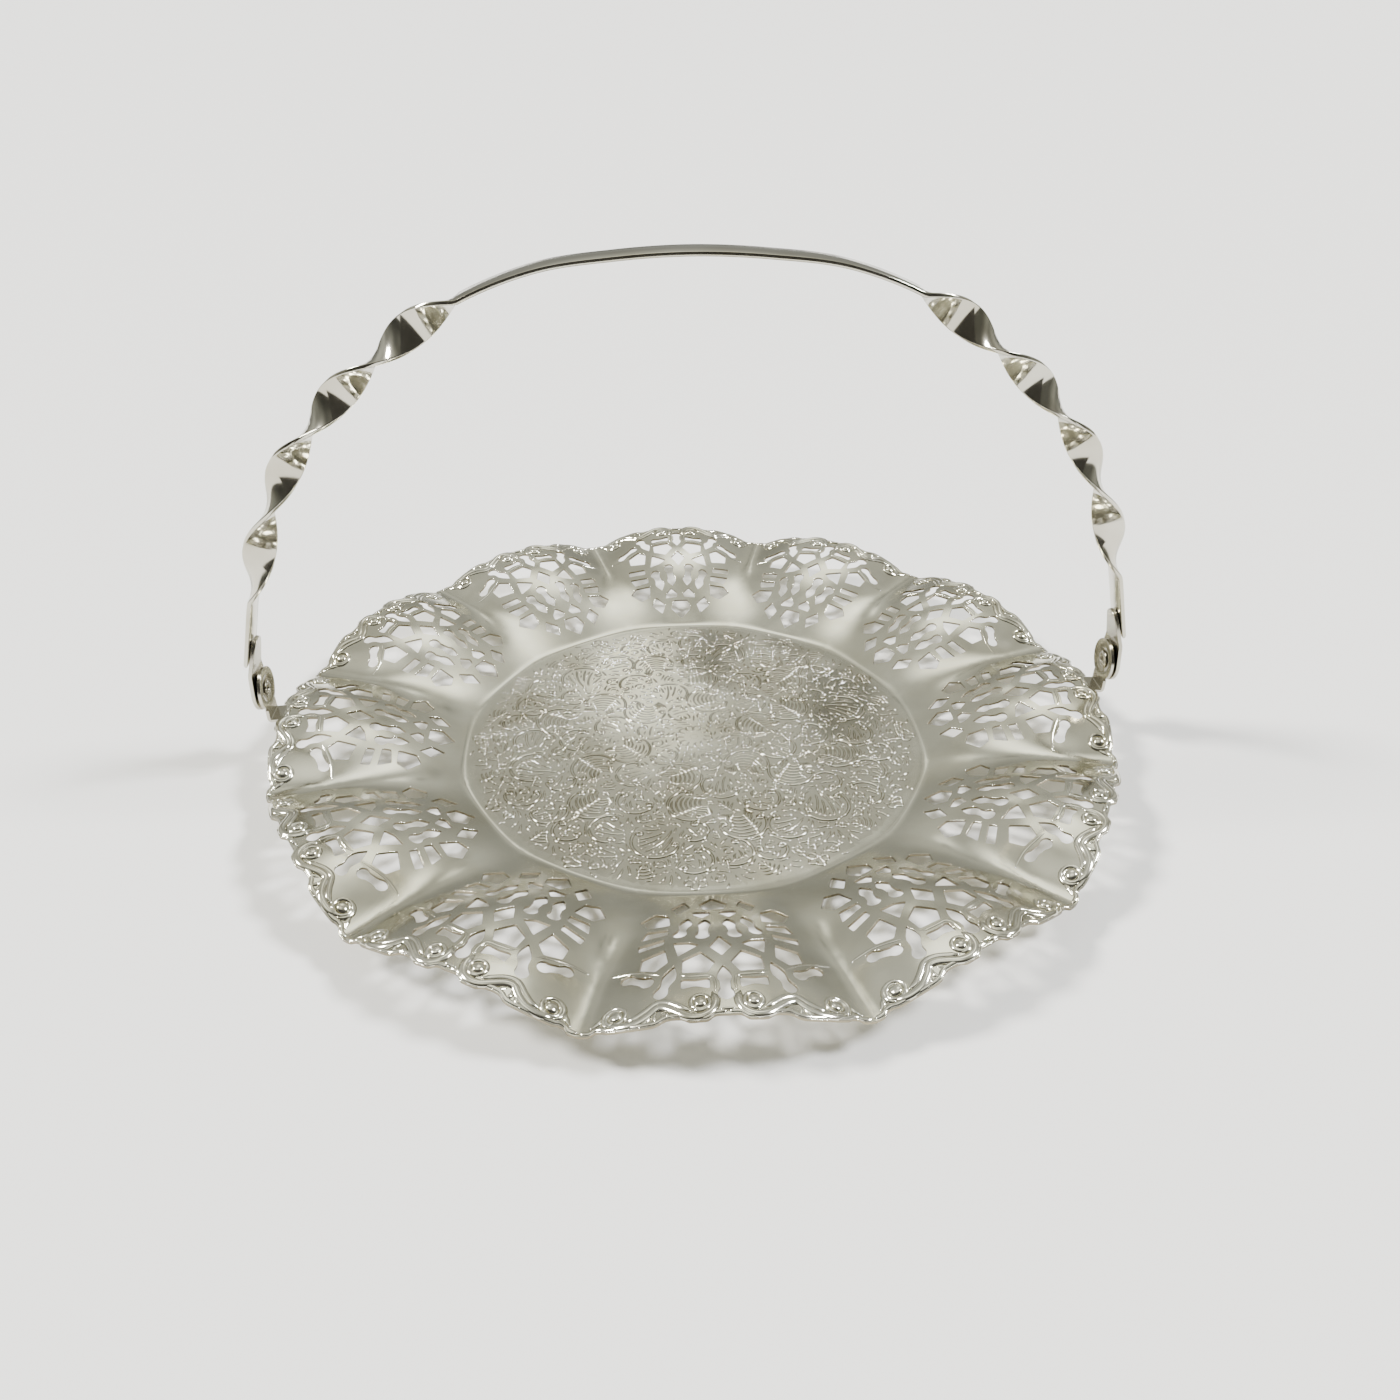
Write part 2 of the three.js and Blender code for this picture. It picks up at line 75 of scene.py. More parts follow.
# %% [markdown]
# ## Node helpers
#
# A shader is a small network of nodes. One function that adds a node, sets its values and plugs in
# its links keeps each material short enough to read. Colours are picked as sRGB hex values, the way
# a screen shows them, but Blender computes in linear light, so one function converts them.

# %% Define the colour and node helpers
def linear(hex_colour):
    channels = [int(hex_colour[i : i + 2], 16) / 255 for i in (1, 3, 5)]
    low = [c / 12.92 if c <= 0.04045 else ((c + 0.055) / 1.055) ** 2.4 for c in channels]
    return (*low, 1.0)


def add_node(tree, kind, links=None, **settings):
    """Adds one node. A setting names an input socket or a property; a link is socket=(node, output)."""
    node = tree.nodes.new(kind)
    for key, value in settings.items():
        name = key.replace("_", " ")
        if hasattr(node, key):
            setattr(node, key, value)
        else:
            node.inputs[name].default_value = value
    for socket, (source, output) in (links or {}).items():
        tree.links.new(source.outputs[output], node.inputs[socket])
    return node


def new_material(name):
    material = bpy.data.materials.new(name)
    material.use_nodes = True
    material.node_tree.nodes.clear()
    return material, material.node_tree


def plain_material(name, colour, roughness):
    material, tree = new_material(name)
    shader = add_node(tree, "ShaderNodeBsdfPrincipled", Roughness=roughness)
    shader.inputs["Base Color"].default_value = linear(colour)
    add_node(tree, "ShaderNodeOutputMaterial", {"Surface": (shader, "BSDF")})
    return material


print("bright silver in linear light:", [round(c, 3) for c in linear("#e0dece")])

# %% [markdown]
# ## The finish: silver plate
#
# Silver plate is a mirror that has been handled. Polished silver reflects about 95 % of the light,
# slightly warm, and its micro scratches blur the reflection a little. Three things make it look real:
# the sheet isn't perfectly flat, so long reflections wobble; the polish is uneven, so the blur
# changes from place to place; and thin tarnish warms and darkens the colour in soft patches.
# The same recipe serves every piece, with its own numbers for blur, tarnish and wobble. The hole walls, the
# strip and the hinges get darker colours than the sheet: that is painted shade.

# %% Make the silver finishes
def silver_plate(name, bright, tarnished, polish, haze, wobble_mm, wobble_depth, grain_depth):
    """Two colours, the lowest and highest roughness, and the width and depth of dents and grain in mm."""
    material, tree = new_material(name)
    place = add_node(tree, "ShaderNodeTexCoord")
    here = (place, "Object")
    patches = add_node(tree, "ShaderNodeTexNoise", {"Vector": here}, Scale=1 / (22 * MM), Detail=3.0)
    smears = add_node(tree, "ShaderNodeTexNoise", {"Vector": here}, Scale=1 / (6 * MM), Detail=4.0)
    colour = add_node(tree, "ShaderNodeValToRGB", {"Fac": (patches, "Fac")})
    colour.color_ramp.elements[0].position = 0.35
    colour.color_ramp.elements[0].color = linear(tarnished)
    colour.color_ramp.elements[1].position = 0.6
    colour.color_ramp.elements[1].color = linear(bright)
    blur = add_node(tree, "ShaderNodeMapRange", {"Value": (smears, "Fac")}, To_Min=polish, To_Max=haze)
    blur.inputs["From Min"].default_value = 0.3
    blur.inputs["From Max"].default_value = 0.7
    dents = add_node(tree, "ShaderNodeTexNoise", {"Vector": here}, Scale=1 / (wobble_mm * MM), Detail=1.0)
    grain = add_node(tree, "ShaderNodeTexNoise", {"Vector": here}, Scale=1 / (0.7 * MM), Detail=2.0)
    wavy = add_node(tree, "ShaderNodeBump", {"Height": (dents, "Fac")}, Distance=wobble_depth * MM)
    fine = add_node(tree, "ShaderNodeBump", {"Height": (grain, "Fac"), "Normal": (wavy, "Normal")},
                    Distance=grain_depth * MM)
    shader = add_node(tree, "ShaderNodeBsdfPrincipled",
                      {"Base Color": (colour, "Color"), "Roughness": (blur, "Result"),
                       "Normal": (fine, "Normal")}, Metallic=1.0)
    add_node(tree, "ShaderNodeOutputMaterial", {"Surface": (shader, "BSDF")})
    return material


polished_silver = silver_plate("polished_silver_plate", "#e0dece", "#d4d1be", 0.12, 0.19, 34, 0.3, 0.0006)
ground_silver = silver_plate("engraved_silver_ground", "#e0dece", "#d2cebb", 0.06, 0.12, 24, 0.25, 0.0006)
chased_silver = silver_plate("chased_silver_relief", "#e9e7d9", "#cdc9b6", 0.09, 0.16, 8, 0.02, 0.0006)
engraved_silver = silver_plate("engraved_line_silver", "#e2dfd0", "#b1ab98", 0.1, 0.17, 8, 0.02, 0.0006)
# Darker silver on the walls of the holes and the rim's edge: painted shade, which gives each hole a dark
# outline.
painted_shade_edge_silver = silver_plate("pierced_edge_silver", "#958d79", "#6b6452", 0.18, 0.28, 5, 0.02, 0.002)
# The handle strip's silver is darker than the sheet's: painted shade, as if it reflected darker
# surroundings.
painted_shade_strip_silver = silver_plate("rolled_strip_silver", "#cbc8bb", "#b9b4a3", 0.08, 0.14, 30, 0.1, 0.0005)
# The hinge plates and rivets take a darker silver than the sheet: painted shade, as if they reflected darker
# surroundings.
painted_shade_hinge_silver = silver_plate("painted_shade_hinge_silver", "#c6c2b4", "#a39e8f", 0.14, 0.24, 6, 0.02, 0.002)
print("finishes:", [m.name for m in bpy.data.materials if "silver" in m.name])

# %% [markdown]
# ## The sheet's surface
#
# The dish was pressed between two dies, so its shape is a height over a flat plan. Two profiles
# describe it: the crest, along the middle of a lobe, and the flute between two lobes. Both rise from
# the well and level off, and a rounded V joins them across the lobe. A smooth minimum and maximum
# round the bends as the die does.

# %% Define the height of the sheet
LOBES = 12
HALF_LOBE = math.pi / LOBES
SHEET = 1.0
WELL_RADIUS = 73.4
CREST_HEIGHT = 15.4
FLUTE_HEIGHT = 8.4


def smooth_min(a, b, width):
    overlap = max(width - abs(a - b), 0) / width
    return min(a, b) - overlap * overlap * width / 4


def smooth_max(a, b, width):
    return -smooth_min(-a, -b, width)


def smooth_step(low, high, value):
    share = min(max((value - low) / (high - low), 0), 1)
    return share * share * (3 - 2 * share)


def crest_height(radius):
    return smooth_max(0, smooth_min(0.46 * (radius - WELL_RADIUS), CREST_HEIGHT, 6.8), 0.5)


def flute_height(radius):
    ledge = FLUTE_HEIGHT - 0.045 * (130 - radius)
    return smooth_max(0, smooth_min(0.36 * (radius - 74), ledge, 5), 0.5)


def sheet_height(radius, angle):
    """Height of the sheet's upper face in mm; angle 0 is the middle of a lobe."""
    across = abs((angle + HALF_LOBE) % (2 * HALF_LOBE) - HALF_LOBE) / HALF_LOBE
    rounding = 0.12 + 0.1 * (1 - smooth_step(108, 115, radius)) + 1.2 * (1 - smooth_step(82, 110, radius))
    share = 1 - (math.hypot(1 - across, rounding) - rounding) / (math.hypot(1, rounding) - rounding)
    crest = crest_height(radius)
    return SHEET + crest - (crest - flute_height(radius)) * share**2.2


def angle_of(point):
    return math.atan2(point.y, point.x)


def on_sheet(out, across, lift=0.0):
    """A point over the first lobe, whose middle lies along +X, in metres."""
    height = sheet_height(math.hypot(out, across), math.atan2(across, out)) + lift
    return Vector((out, across, height)) * MM


print("rim at a crest and at a flute:", [round(sheet_height(130, angle), 1) for angle in (0, HALF_LOBE)])

# %% [markdown]
# ## The piercing of one lobe
#
# A fly press punched the holes before the sheet was shaped. They are drawn once for half a lobe, in
# millimetres across and outward, and mirrored. Straight-sided holes have slightly soft corners.
# Keyholes and petals are two round lobes with a narrow waist, and most end in a point.

# %% Draw the hole outlines
CORNERED = [
    [(7.2, 78.6), (11.1, 82.3), (9.4, 86.1), (5.95, 82.7)],
    [(1.6, 85.7), (5.6, 85.4), (5.6, 87.3), (3.4, 89.8), (0.9, 87.3)],
    [(11.7, 86.5), (15.1, 84.8), (19.1, 88.4), (17.2, 91.7), (11.6, 91.9)],
    [(12.1, 93.9), (17.3, 93.2), (19.2, 97.0), (12.4, 96.4)],
    [(13.2, 98.4), (19.6, 99.2), (19.8, 101.8), (13.5, 100.8)],
    [(13.3, 103.6), (18.9, 105.2), (19.6, 109.5), (15.8, 111.6), (12.8, 109.2)],
    [(11.2, 101.2), (10.3, 107.6), (5.0, 104.0), (7.3, 102.2)],
    [(4.9, 106.9), (9.4, 109.3), (9.7, 114.0), (3.8, 114.8), (1.8, 111.4)],
]
MIDDLE_CORNERED = [
    [(0, 76.5), (3.85, 80.7), (2.6, 84.3), (-2.6, 84.3), (-3.85, 80.7)],
    [(0, 100.3), (2.9, 105.1), (0, 109.0), (-2.9, 105.1)],
]
BOW_TIE = [(3.5, 116.5), (6.8, 116.75), (10.1, 116.0), (10.2, 119.2), (6.7, 118.8), (3.5, 120.0)]
# Two keyholes, a petal and a dumbbell: tip, middles of the belly and the head, their radii, the waist
ROUND_ENDED = [
    ((2.8, 90.8), (3.1, 93.8), (4.0, 99.4), 1.75, 1.9, 1.2),
    ((6.95, 89.2), (7.75, 92.6), (9.4, 97.3), 1.7, 1.8, 1.15),
    ((11.4, 111.0), (12.9, 115.2), (14.9, 119.2), 1.7, 1.75, 1.2),
    (None, (17.9, 114.6), (22.3, 111.8), 1.7, 1.7, 1.2),
]
MIDDLE_PETAL = ((0, 112.6), (0, 116.6), (0, 121.5), 1.75, 1.9, 1.2)


def softened(corners, radius=0.45, steps=3):
    """Rounds each corner of a closed outline with a short curve."""
    points = [Vector(c) for c in corners]
    outline = []
    for i, corner in enumerate(points):
        back = (points[i - 1] - corner).normalized() * radius
        ahead = (points[(i + 1) % len(points)] - corner).normalized() * radius
        for k in range(steps + 1):
            t = k / steps
            outline.append(corner + back * (1 - t) ** 2 + ahead * t**2)
    return outline


def double_round(tip, belly, head, belly_r, head_r, waist, steps=18):
    """Two round ends joined by a waist; with a tip the belly runs out to a point."""
    belly, head = Vector(belly), Vector(head)
    length = (head - belly).length
    along = (head - belly).normalized()
    aside = along.orthogonal()
    tail = (Vector(tip) - belly).length if tip else belly_r

    def half_width(s):
        low = math.sqrt(max(belly_r**2 - s**2, 0))
        high = math.sqrt(max(head_r**2 - (s - length) ** 2, 0))
        if s < 0 and tip:
            low = belly_r * math.sin(math.pi / 2 * (1 + s / tail))
        middle = waist if 0 < s < length else 0
        return smooth_max(smooth_max(low, high, 0.5), middle, 0.4) if 0 < s < length else max(low, high)

    sides = []
    for k in range(steps + 1):
        s = -tail + (length + head_r + tail) * (1 - math.cos(math.pi * k / steps)) / 2
        bend = Vector(tip) - (belly - along * tail) if tip and s < 0 else Vector((0, 0))
        centre = belly + along * s + bend * (s / tail) ** 2
        sides.append((centre, aside * half_width(s)))
    outline = [centre + side for centre, side in sides]
    return outline + [centre - side for centre, side in reversed(sides[1:-1])]


def mirrored(outline):
    return [Vector((-p.x, p.y)) for p in reversed(outline)]


half_holes = [softened(corners) for corners in CORNERED]
half_holes.append(softened(BOW_TIE, 0.8))
half_holes += [double_round(*shape) for shape in ROUND_ENDED]
middle_holes = [softened(corners) for corners in MIDDLE_CORNERED] + [double_round(*MIDDLE_PETAL)]
hole_outlines = middle_holes + half_holes + [mirrored(hole) for hole in half_holes]
print("holes in a lobe:", len(hole_outlines))

# %% [markdown]
# ## From outlines to a sheet
#
# No operator cuts 29 curved holes into a curved sheet and keeps even faces, and mirror-bright metal
# shows every uneven face. So one lobe is filled flat by a Delaunay triangulation, which joins a grid
# of points into the roundest triangles it can and keeps the hole edges. The bend round the well is
# sharp, so it gets rows of points of its own. The lobe is then lifted onto the die's surface, spun
# eleven times into the full round, and welded.

# %% Draw the rim and the points of one lobe
RIM = [(0, 127.6), (2.9, 127.65), (4.6, 128.9), (6.5, 129.06), (8.8, 129.03), (10.6, 128.1), (14, 128.1),
       (16.6, 129.5), (20, 129.75), (25, 129.75), (27.6, 129.6), (28.6, 129.2), (30.2, 129.3), (31.4, 130.2)]
LIP_RADIUS = 130.5
SPACING = 1.4
WELL_SPACING = 3.2
BEND_ROWS = (71.6, 72.4, 73.1, 73.8, 74.5, 75.3, 76.1)
# Each grid's spacing, and the radii that it lies between
GRIDS = ((WELL_SPACING, 2, 68), (SPACING, 68, 71), (SPACING, 76.7, 130))


def polar(radius, angle):
    return Vector((radius * math.cos(angle), radius * math.sin(angle)))


def step_to(degrees, length):
    return polar(length, math.radians(degrees))


def resampled(outline, spacing):
    """Adds points to a closed outline so that its stretches are about one spacing long at most."""
    points = []
    for start, end in zip(outline, outline[1:] + outline[:1]):
        count = max(1, round((end - start).length / spacing))
        points += [start.lerp(end, k / count) for k in range(count)]
    return points


def in_fours(points):
    """Every four points in a row, with one more point added beyond each end."""
    padded = [points[0] * 2 - points[1], *points, points[-1] * 2 - points[-2]]
    return zip(padded, padded[1:], padded[2:], padded[3:])


def spline(points, steps):
    """A smooth run through the points, with the given number of steps between two of them."""
    run = []
    for a, b, c, d in in_fours(points):
        for k in range(steps):
            t = k / steps
            run.append(((2 * b) + (c - a) * t + (2 * a - 5 * b + 4 * c - d) * t**2
                        + (3 * b - a - 3 * c + d) * t**3) / 2)
    return run + [points[-1]]


def half_rim(inset=0):
    """The rim's edge from the middle of a lobe to the flute, or a line along it further in."""
    half = [polar(radius - inset, math.asin(across / radius)) for across, radius in RIM]
    return spline([*half, polar(LIP_RADIUS - inset, HALF_LOBE)], 3)


def rim_outline():
    half = half_rim()
    return [Vector((p.x, -p.y)) for p in reversed(half[1:])] + half


def flute_radii():
    coarse = [WELL_SPACING * k for k in range(1, 22)]
    start = coarse[-1]
    count = round((LIP_RADIUS - start) / SPACING)
    return coarse + [start + (LIP_RADIUS - start) * k / count for k in range(1, count)]


def filling_points(boundary):
    """Rings of points along the bend and triangular grids elsewhere, clear of the given points."""
    tree = kdtree.KDTree(len(boundary))
    for i, point in enumerate(boundary):
        tree.insert(point.to_3d(), i)
    tree.balance()
    found = []
    for number, radius in enumerate(BEND_ROWS):
        count = round(2 * HALF_LOBE * radius / SPACING)
        found += [polar(radius, HALF_LOBE * ((2 * k + number % 2) / count - 1)) for k in range(1, count)]
    for spacing, low, high in GRIDS:
        row_height = spacing * math.sqrt(3) / 2
        for row in range(int(low / row_height), int(high / row_height) + 1):
            out = row * row_height
            reach = int(out * math.tan(HALF_LOBE) / spacing) + 1
            for column in range(-reach, reach + 1):
                point = Vector((out, (column + (row % 2) / 2) * spacing))
                if not low <= point.length < high or abs(angle_of(point)) > HALF_LOBE:
                    continue
                if tree.find(point.to_3d())[2] > 0.62 * spacing:
                    found.append(point)
    return found


def is_inside(point, outline):
    inside = False
    for a, b in zip(outline, outline[1:] + outline[:1]):
        if (a.y > point.y) != (b.y > point.y):
            inside ^= point.x < (b.x - a.x) * (point.y - a.y) / (b.y - a.y) + a.x
    return inside


# Outward becomes the first coordinate, so the lobe's middle lies along +X
holes = [resampled([Vector((p.y, p.x)) for p in hole], SPACING) for hole in hole_outlines]
rim = rim_outline()
radii = flute_radii()
border = ([Vector((0, 0))] + [polar(r, -HALF_LOBE) for r in radii] + rim
          + [polar(r, HALF_LOBE) for r in reversed(radii)])
loops = [border, *holes]
fixed = [point for loop in loops for point in loop]
loose = filling_points(fixed)
print("points on edges:", len(fixed), "and between them:", len(loose))

# %% Fill one lobe, lift it and spin it round
EDGE_SEEN = 0.75
GROUND_RADIUS = 70.5
EDGE_SLOT = 1
GROUND_SLOT = 2


def loop_edges(loops):
    edges, start = [], 0
    for loop in loops:
        edges += [(start + i, start + (i + 1) % len(loop)) for i in range(len(loop))]
        start += len(loop)
    return edges


def lobe_faces(points, edges):
    """Fills what the border holds, without the holes and the slivers along straight edges."""
    inside_border = 1
    found = geometry.delaunay_2d_cdt(points, edges, [], inside_border, 1e-5)
    spots, faces = found[0], found[2]
    kept = []
    for face in faces:
        corners = [spots[i] for i in face]
        middle = sum(corners, Vector((0, 0))) / 3
        if geometry.area_tri(*corners) > 1e-3 and not any(is_inside(middle, hole) for hole in holes):
            kept.append(face)
    return spots, kept


def mesh_object(name, bm, materials):
    mesh = bpy.data.meshes.new(name)
    bm.to_mesh(mesh)
    bm.free()
    mesh.shade_smooth()
    for material in materials:
        mesh.materials.append(material)
    piece = bpy.data.objects.new(name, mesh)
    bpy.context.scene.collection.objects.link(piece)
    return piece


def everything(bm):
    return bm.verts[:] + bm.edges[:] + bm.faces[:]


def spin_copies(bm, count):
    """Repeats all that the mesh holds round the tray's middle."""
    bmesh.ops.spin(bm, geom=everything(bm), cent=(0, 0, 0), axis=(0, 0, 1), steps=count - 1,
                   angle=2 * math.pi * (count - 1) / count, use_duplicate=True)


def add_wall(piece, thickness, side):
    wall = piece.modifiers.new("thickness", "SOLIDIFY")
    wall.thickness = thickness * MM
    wall.offset = side
    return wall


def soften_edges(piece, width, segments, sharpest):
    """Rounds every edge that is sharper than the given angle in degrees."""
    edge = piece.modifiers.new("soft_edges", "BEVEL")
    edge.width = width * MM
    edge.segments = segments
    edge.limit_method = "ANGLE"
    edge.angle_limit = math.radians(sharpest)
    edge.harden_normals = True


def make_dish():
    spots, faces = lobe_faces(fixed + loose, loop_edges(loops))
    bm = bmesh.new()
    verts = [bm.verts.new(on_sheet(p.x, p.y)) for p in spots]
    for face in faces:
        bm.faces.new([verts[i] for i in face])
    bmesh.ops.delete(bm, geom=[v for v in bm.verts if not v.link_faces], context="VERTS")
    bm.normal_update()
    bmesh.ops.reverse_faces(bm, faces=[f for f in bm.faces if f.normal.z < 0])
    spin_copies(bm, LOBES)
    bmesh.ops.remove_doubles(bm, verts=bm.verts[:], dist=0.01 * MM)
    for face in bm.faces:
        if face.calc_center_median().to_2d().length < GROUND_RADIUS * MM:
            face.material_index = GROUND_SLOT
    dish = mesh_object("dish_sheet", bm, [polished_silver, painted_shade_edge_silver, ground_silver])
    # The walls of the holes and the rim take the darker edge silver, as painted shade.
    add_wall(dish, EDGE_SEEN, -1).material_offset_rim = EDGE_SLOT
    soften_edges(dish, 0.28, 2, 50)
    return dish


def count_triangles(piece):
    shown = piece.evaluated_get(bpy.context.evaluated_depsgraph_get()).to_mesh()
    return sum(len(p.vertices) - 2 for p in shown.polygons)


dish = make_dish()
print("dish triangles:", count_triangles(dish))

# %% [markdown]
# ## Raised lines
#
# Chased and pressed ornament is a set of raised lines: a scroll is one line that curls up at its
# end, a leaf is a few lines that taper. Each is swept along a path: a small section is extruded from
# point to point and shrinks to nothing at the ends, so that it seems to rise out of the sheet.

# %% Define the sweep, the raised line and the spiral
def sweep(bm, sections):
    """Extrudes a closed section from place to place; each section is a list of points."""
    first = [bm.verts.new(spot) for spot in sections[0]]
    cap = bm.faces.new(first)
    for number, section in enumerate(sections[1:]):
        cap = bmesh.ops.extrude_discrete_faces(bm, faces=[cap])["faces"][0]
        for vert, spot in zip(cap.verts, section):
            vert.co = spot
        if number == 0:
            bm.faces.new(reversed(first))


# Across and up, as shares of the width and the height; None lies under the sheet
LINE_PROFILE = ((-0.5, None), (0.5, None), (0.34, 0.42), (0.15, 0.93), (-0.15, 0.93), (-0.34, 0.42))


def running_lengths(path):
    lengths = [0.0]
    for a, b in zip(path, path[1:]):
        lengths.append(lengths[-1] + (b - a).length)
    return lengths


def heading_at(path, i):
    return (path[min(i + 1, len(path) - 1)] - path[max(i - 1, 0)]).normalized()


def raised_line(bm, path, width, height, taper=2.0, profile=LINE_PROFILE):
    """Sweeps a low ridge along a path of (out, across) points in mm; its foot is under the sheet."""
    lengths = running_lengths(path)
    sections = []
    for i, point in enumerate(path):
        aside = heading_at(path, i).orthogonal()
        near_end = min(lengths[i], lengths[-1] - lengths[i])
        swell = min(1.0, 0.15 + near_end / taper)
        section = []
        for offset, rise in profile:
            spot = point + aside * (offset * width * swell)
            section.append(on_sheet(spot.x, spot.y, -0.06 if rise is None else height * rise * swell))
        sections.append(section)
    sweep(bm, sections)


def spiral(centre, start_radius, end_radius, start, turn, steps=14):
    """A curl from start through turn, both in degrees, as its radius goes from one value to the other."""
    points = []
    for k in range(steps + 1):
        radius = start_radius + (end_radius - start_radius) * k / steps
        points.append(Vector(centre) + step_to(start + turn * k / steps, radius))
    return points


print("points in one curl:", len(spiral((100, 0), 3, 1, 0, 400)))

# %% [markdown]
# ## The relief along the rim
#
# The rim's border is pressed into the same sheet, so it is low and soft. In each half lobe a double
# line leaves a small volute beside the middle petal, runs along the edge, dips to a V and ends in a
# second volute near the flute. Leaves fill the dip, and a short bar marks the middle.
# The lines are (across, outward) in millimetres, as the holes are.

# %% Model the rim's relief
INNER_VOLUTE = (6.1, 123.8)
OUTER_VOLUTE = (25.4, 122.9)
OUTER_RIDGE = [(3.2, 121.0), (2.6, 123.6), (3.6, 126.2), (6.0, 127.6), (8.9, 127.3), (11.4, 125.6),
               (13.8, 123.9), (15.9, 123.5), (18.0, 125.1), (20.8, 126.4), (24.4, 126.2), (27.3, 124.6)]
INNER_RIDGE = [(8.2, 125.9), (10.3, 124.5), (13.0, 122.6), (15.8, 122.0), (18.7, 123.7), (21.2, 124.9),
               (23.4, 124.9)]
TAIL_LINE = [(2.6, 121.0), (2.3, 118.2), (3.2, 116.0), (6.0, 115.65), (8.8, 115.2), (10.4, 114.3)]
POCKET_LINE = [(26.6, 108.9), (24.0, 109.1), (20.7, 109.9), (16.4, 112.3), (14.9, 113.4)]
LEAVES = [
    [(15.9, 124.6), (16.6, 126.2), (15.9, 128.0)],
    [(16.9, 125.0), (18.4, 126.6), (20.2, 128.2)],
    [(14.9, 125.0), (13.6, 126.2), (12.0, 127.3)],
    [(28.0, 121.6), (29.4, 123.4), (31.2, 124.6)],
]
MIDDLE_BAR = [(-1.9, 126.35), (0, 126.2), (1.9, 126.35)]
EDGE_INSET = 0.85


def rim_curve(points):
    return spline([Vector((out, across)) for across, out in points], 4)


def bead(bm, across, out, radius, height):
    """A low round boss, turned about the sheet's upright."""
    made = bmesh.ops.create_uvsphere(bm, u_segments=12, v_segments=6, radius=1)["verts"]
    for vert in made:
        x, y, z = vert.co
        vert.co = on_sheet(out + x * radius, across + y * radius, z * height)


def make_relief():
    bm = bmesh.new()
    raised_line(bm, rim_curve(OUTER_RIDGE), 2.5, 0.65)
    raised_line(bm, rim_curve(INNER_RIDGE), 1.8, 0.45)
    volutes = ((INNER_VOLUTE, 60, -520, 2.35), (OUTER_VOLUTE, 30, 560, 2.9))
    for (across, out), start, turn, radius in volutes:
        raised_line(bm, spiral((out, across), radius, 1.9, start, turn, 26), 1.4, 0.5)
        bead(bm, across, out, 1.7, 0.8)
    for line in (TAIL_LINE, POCKET_LINE):
        raised_line(bm, rim_curve(line), 0.9, 0.16)
    for leaf in LEAVES:
        raised_line(bm, rim_curve(leaf), 1.6, 0.45, taper=2.4)
    raised_line(bm, half_rim(EDGE_INSET), 1.4, 0.35, taper=0.01)
    halves = bmesh.ops.duplicate(bm, geom=everything(bm))["geom"]
    other = [item for item in halves if isinstance(item, bmesh.types.BMVert)]
    bmesh.ops.scale(bm, vec=(1, -1, 1), verts=other)
    bmesh.ops.reverse_faces(bm, faces=[item for item in halves if isinstance(item, bmesh.types.BMFace)])
    raised_line(bm, rim_curve(MIDDLE_BAR), 1.0, 0.5, taper=0.8)
    spin_copies(bm, LOBES)
    bmesh.ops.recalc_face_normals(bm, faces=bm.faces[:])
    return mesh_object("rim_relief", bm, [chased_silver])


relief = make_relief()
print("relief triangles:", count_triangles(relief))

# %% [markdown]
# ## The engraving in the well
#
# The well carries traditional rococo engraving that leaves no plain ground: C-scrolls with curled
# ends, leaves that spring from their backs, crescents, small flowers and patches of diaper, which is
# a plain lattice. A bump pattern can't draw these, so the lines are real: low ridges that glint on
# one side and darken on the other. Circles of many sizes are packed into one sixth of the well, and
# each gets its own patch of ground. The outermost row of circles swings out in front of each lobe.

# %% Lay out the patches of ground
PITCH = 1.28  # between neighbouring lines of a family, in mm
STEP = 0.7  # between the points of a line
SIXTH = math.pi / 3
EDGE_MIDDLE = 67.5
EDGE_SWING = 1.3
EDGE_CIRCLE = 3.2
MIDDLE_CIRCLE = 6.5
REACH = 67
# The largest and smallest circle and the number of darts in each round
ROUNDS = ((7.2, 5.6, 700), (5.2, 3.8, 900), (3.4, 1.8, 1500))
dice = random.Random(5)


def in_next_sixths(spot):
    """The place itself and its copies one sixth to either side."""
    return [polar(spot.length, angle_of(spot) + turn * SIXTH) for turn in (-1, 0, 1)]


def room_at(spot, circles, reach):
    """How large a circle fits at a place, with the neighbours in the next sixths counted too."""
    room = reach - spot.length
    for centre, size in circles:
        room = min(room, *((spot - copy).length - size for copy in in_next_sixths(centre)))
    return room


def packed_circles(start, reach, rounds):
    """Throws darts at one sixth of the well; each takes the largest circle that still fits."""
    circles = list(start)
    for largest, smallest, throws in rounds:
        for _ in range(throws):
            spot = polar(reach * math.sqrt(dice.random()), SIXTH * (dice.random() - 0.5))
            room = room_at(spot, circles, reach)
            if room > smallest:
                circles.append((spot, min(room, largest)))
    return circles


def leafy_edge(angle):
    """Where the middles of the outermost circles lie: further out in front of each lobe."""
    return EDGE_MIDDLE + EDGE_SWING * math.cos(LOBES * angle)


middle = (Vector((0, 0)), MIDDLE_CIRCLE)
edge_turns = [math.radians(6 * k - 27) for k in range(10)]
edge_row = [(polar(leafy_edge(turn), turn), EDGE_CIRCLE) for turn in edge_turns]
circles = packed_circles([middle, *edge_row], REACH, ROUNDS)
print("patches in a sixth:", len(circles))

# %% Define the families of lines
def ring(centre, radius, start, turn, end_radius=None):
    """A line round a centre, in degrees; with an end radius it winds inward or outward."""
    last = radius if end_radius is None else end_radius
    length = math.radians(abs(turn)) * (radius + last) / 2
    count = max(3, round(length / STEP), round(abs(turn) / 20))
    return [Vector(centre) + step_to(start + turn * k / count, radius + (last - radius) * k / count)
            for k in range(count + 1)]


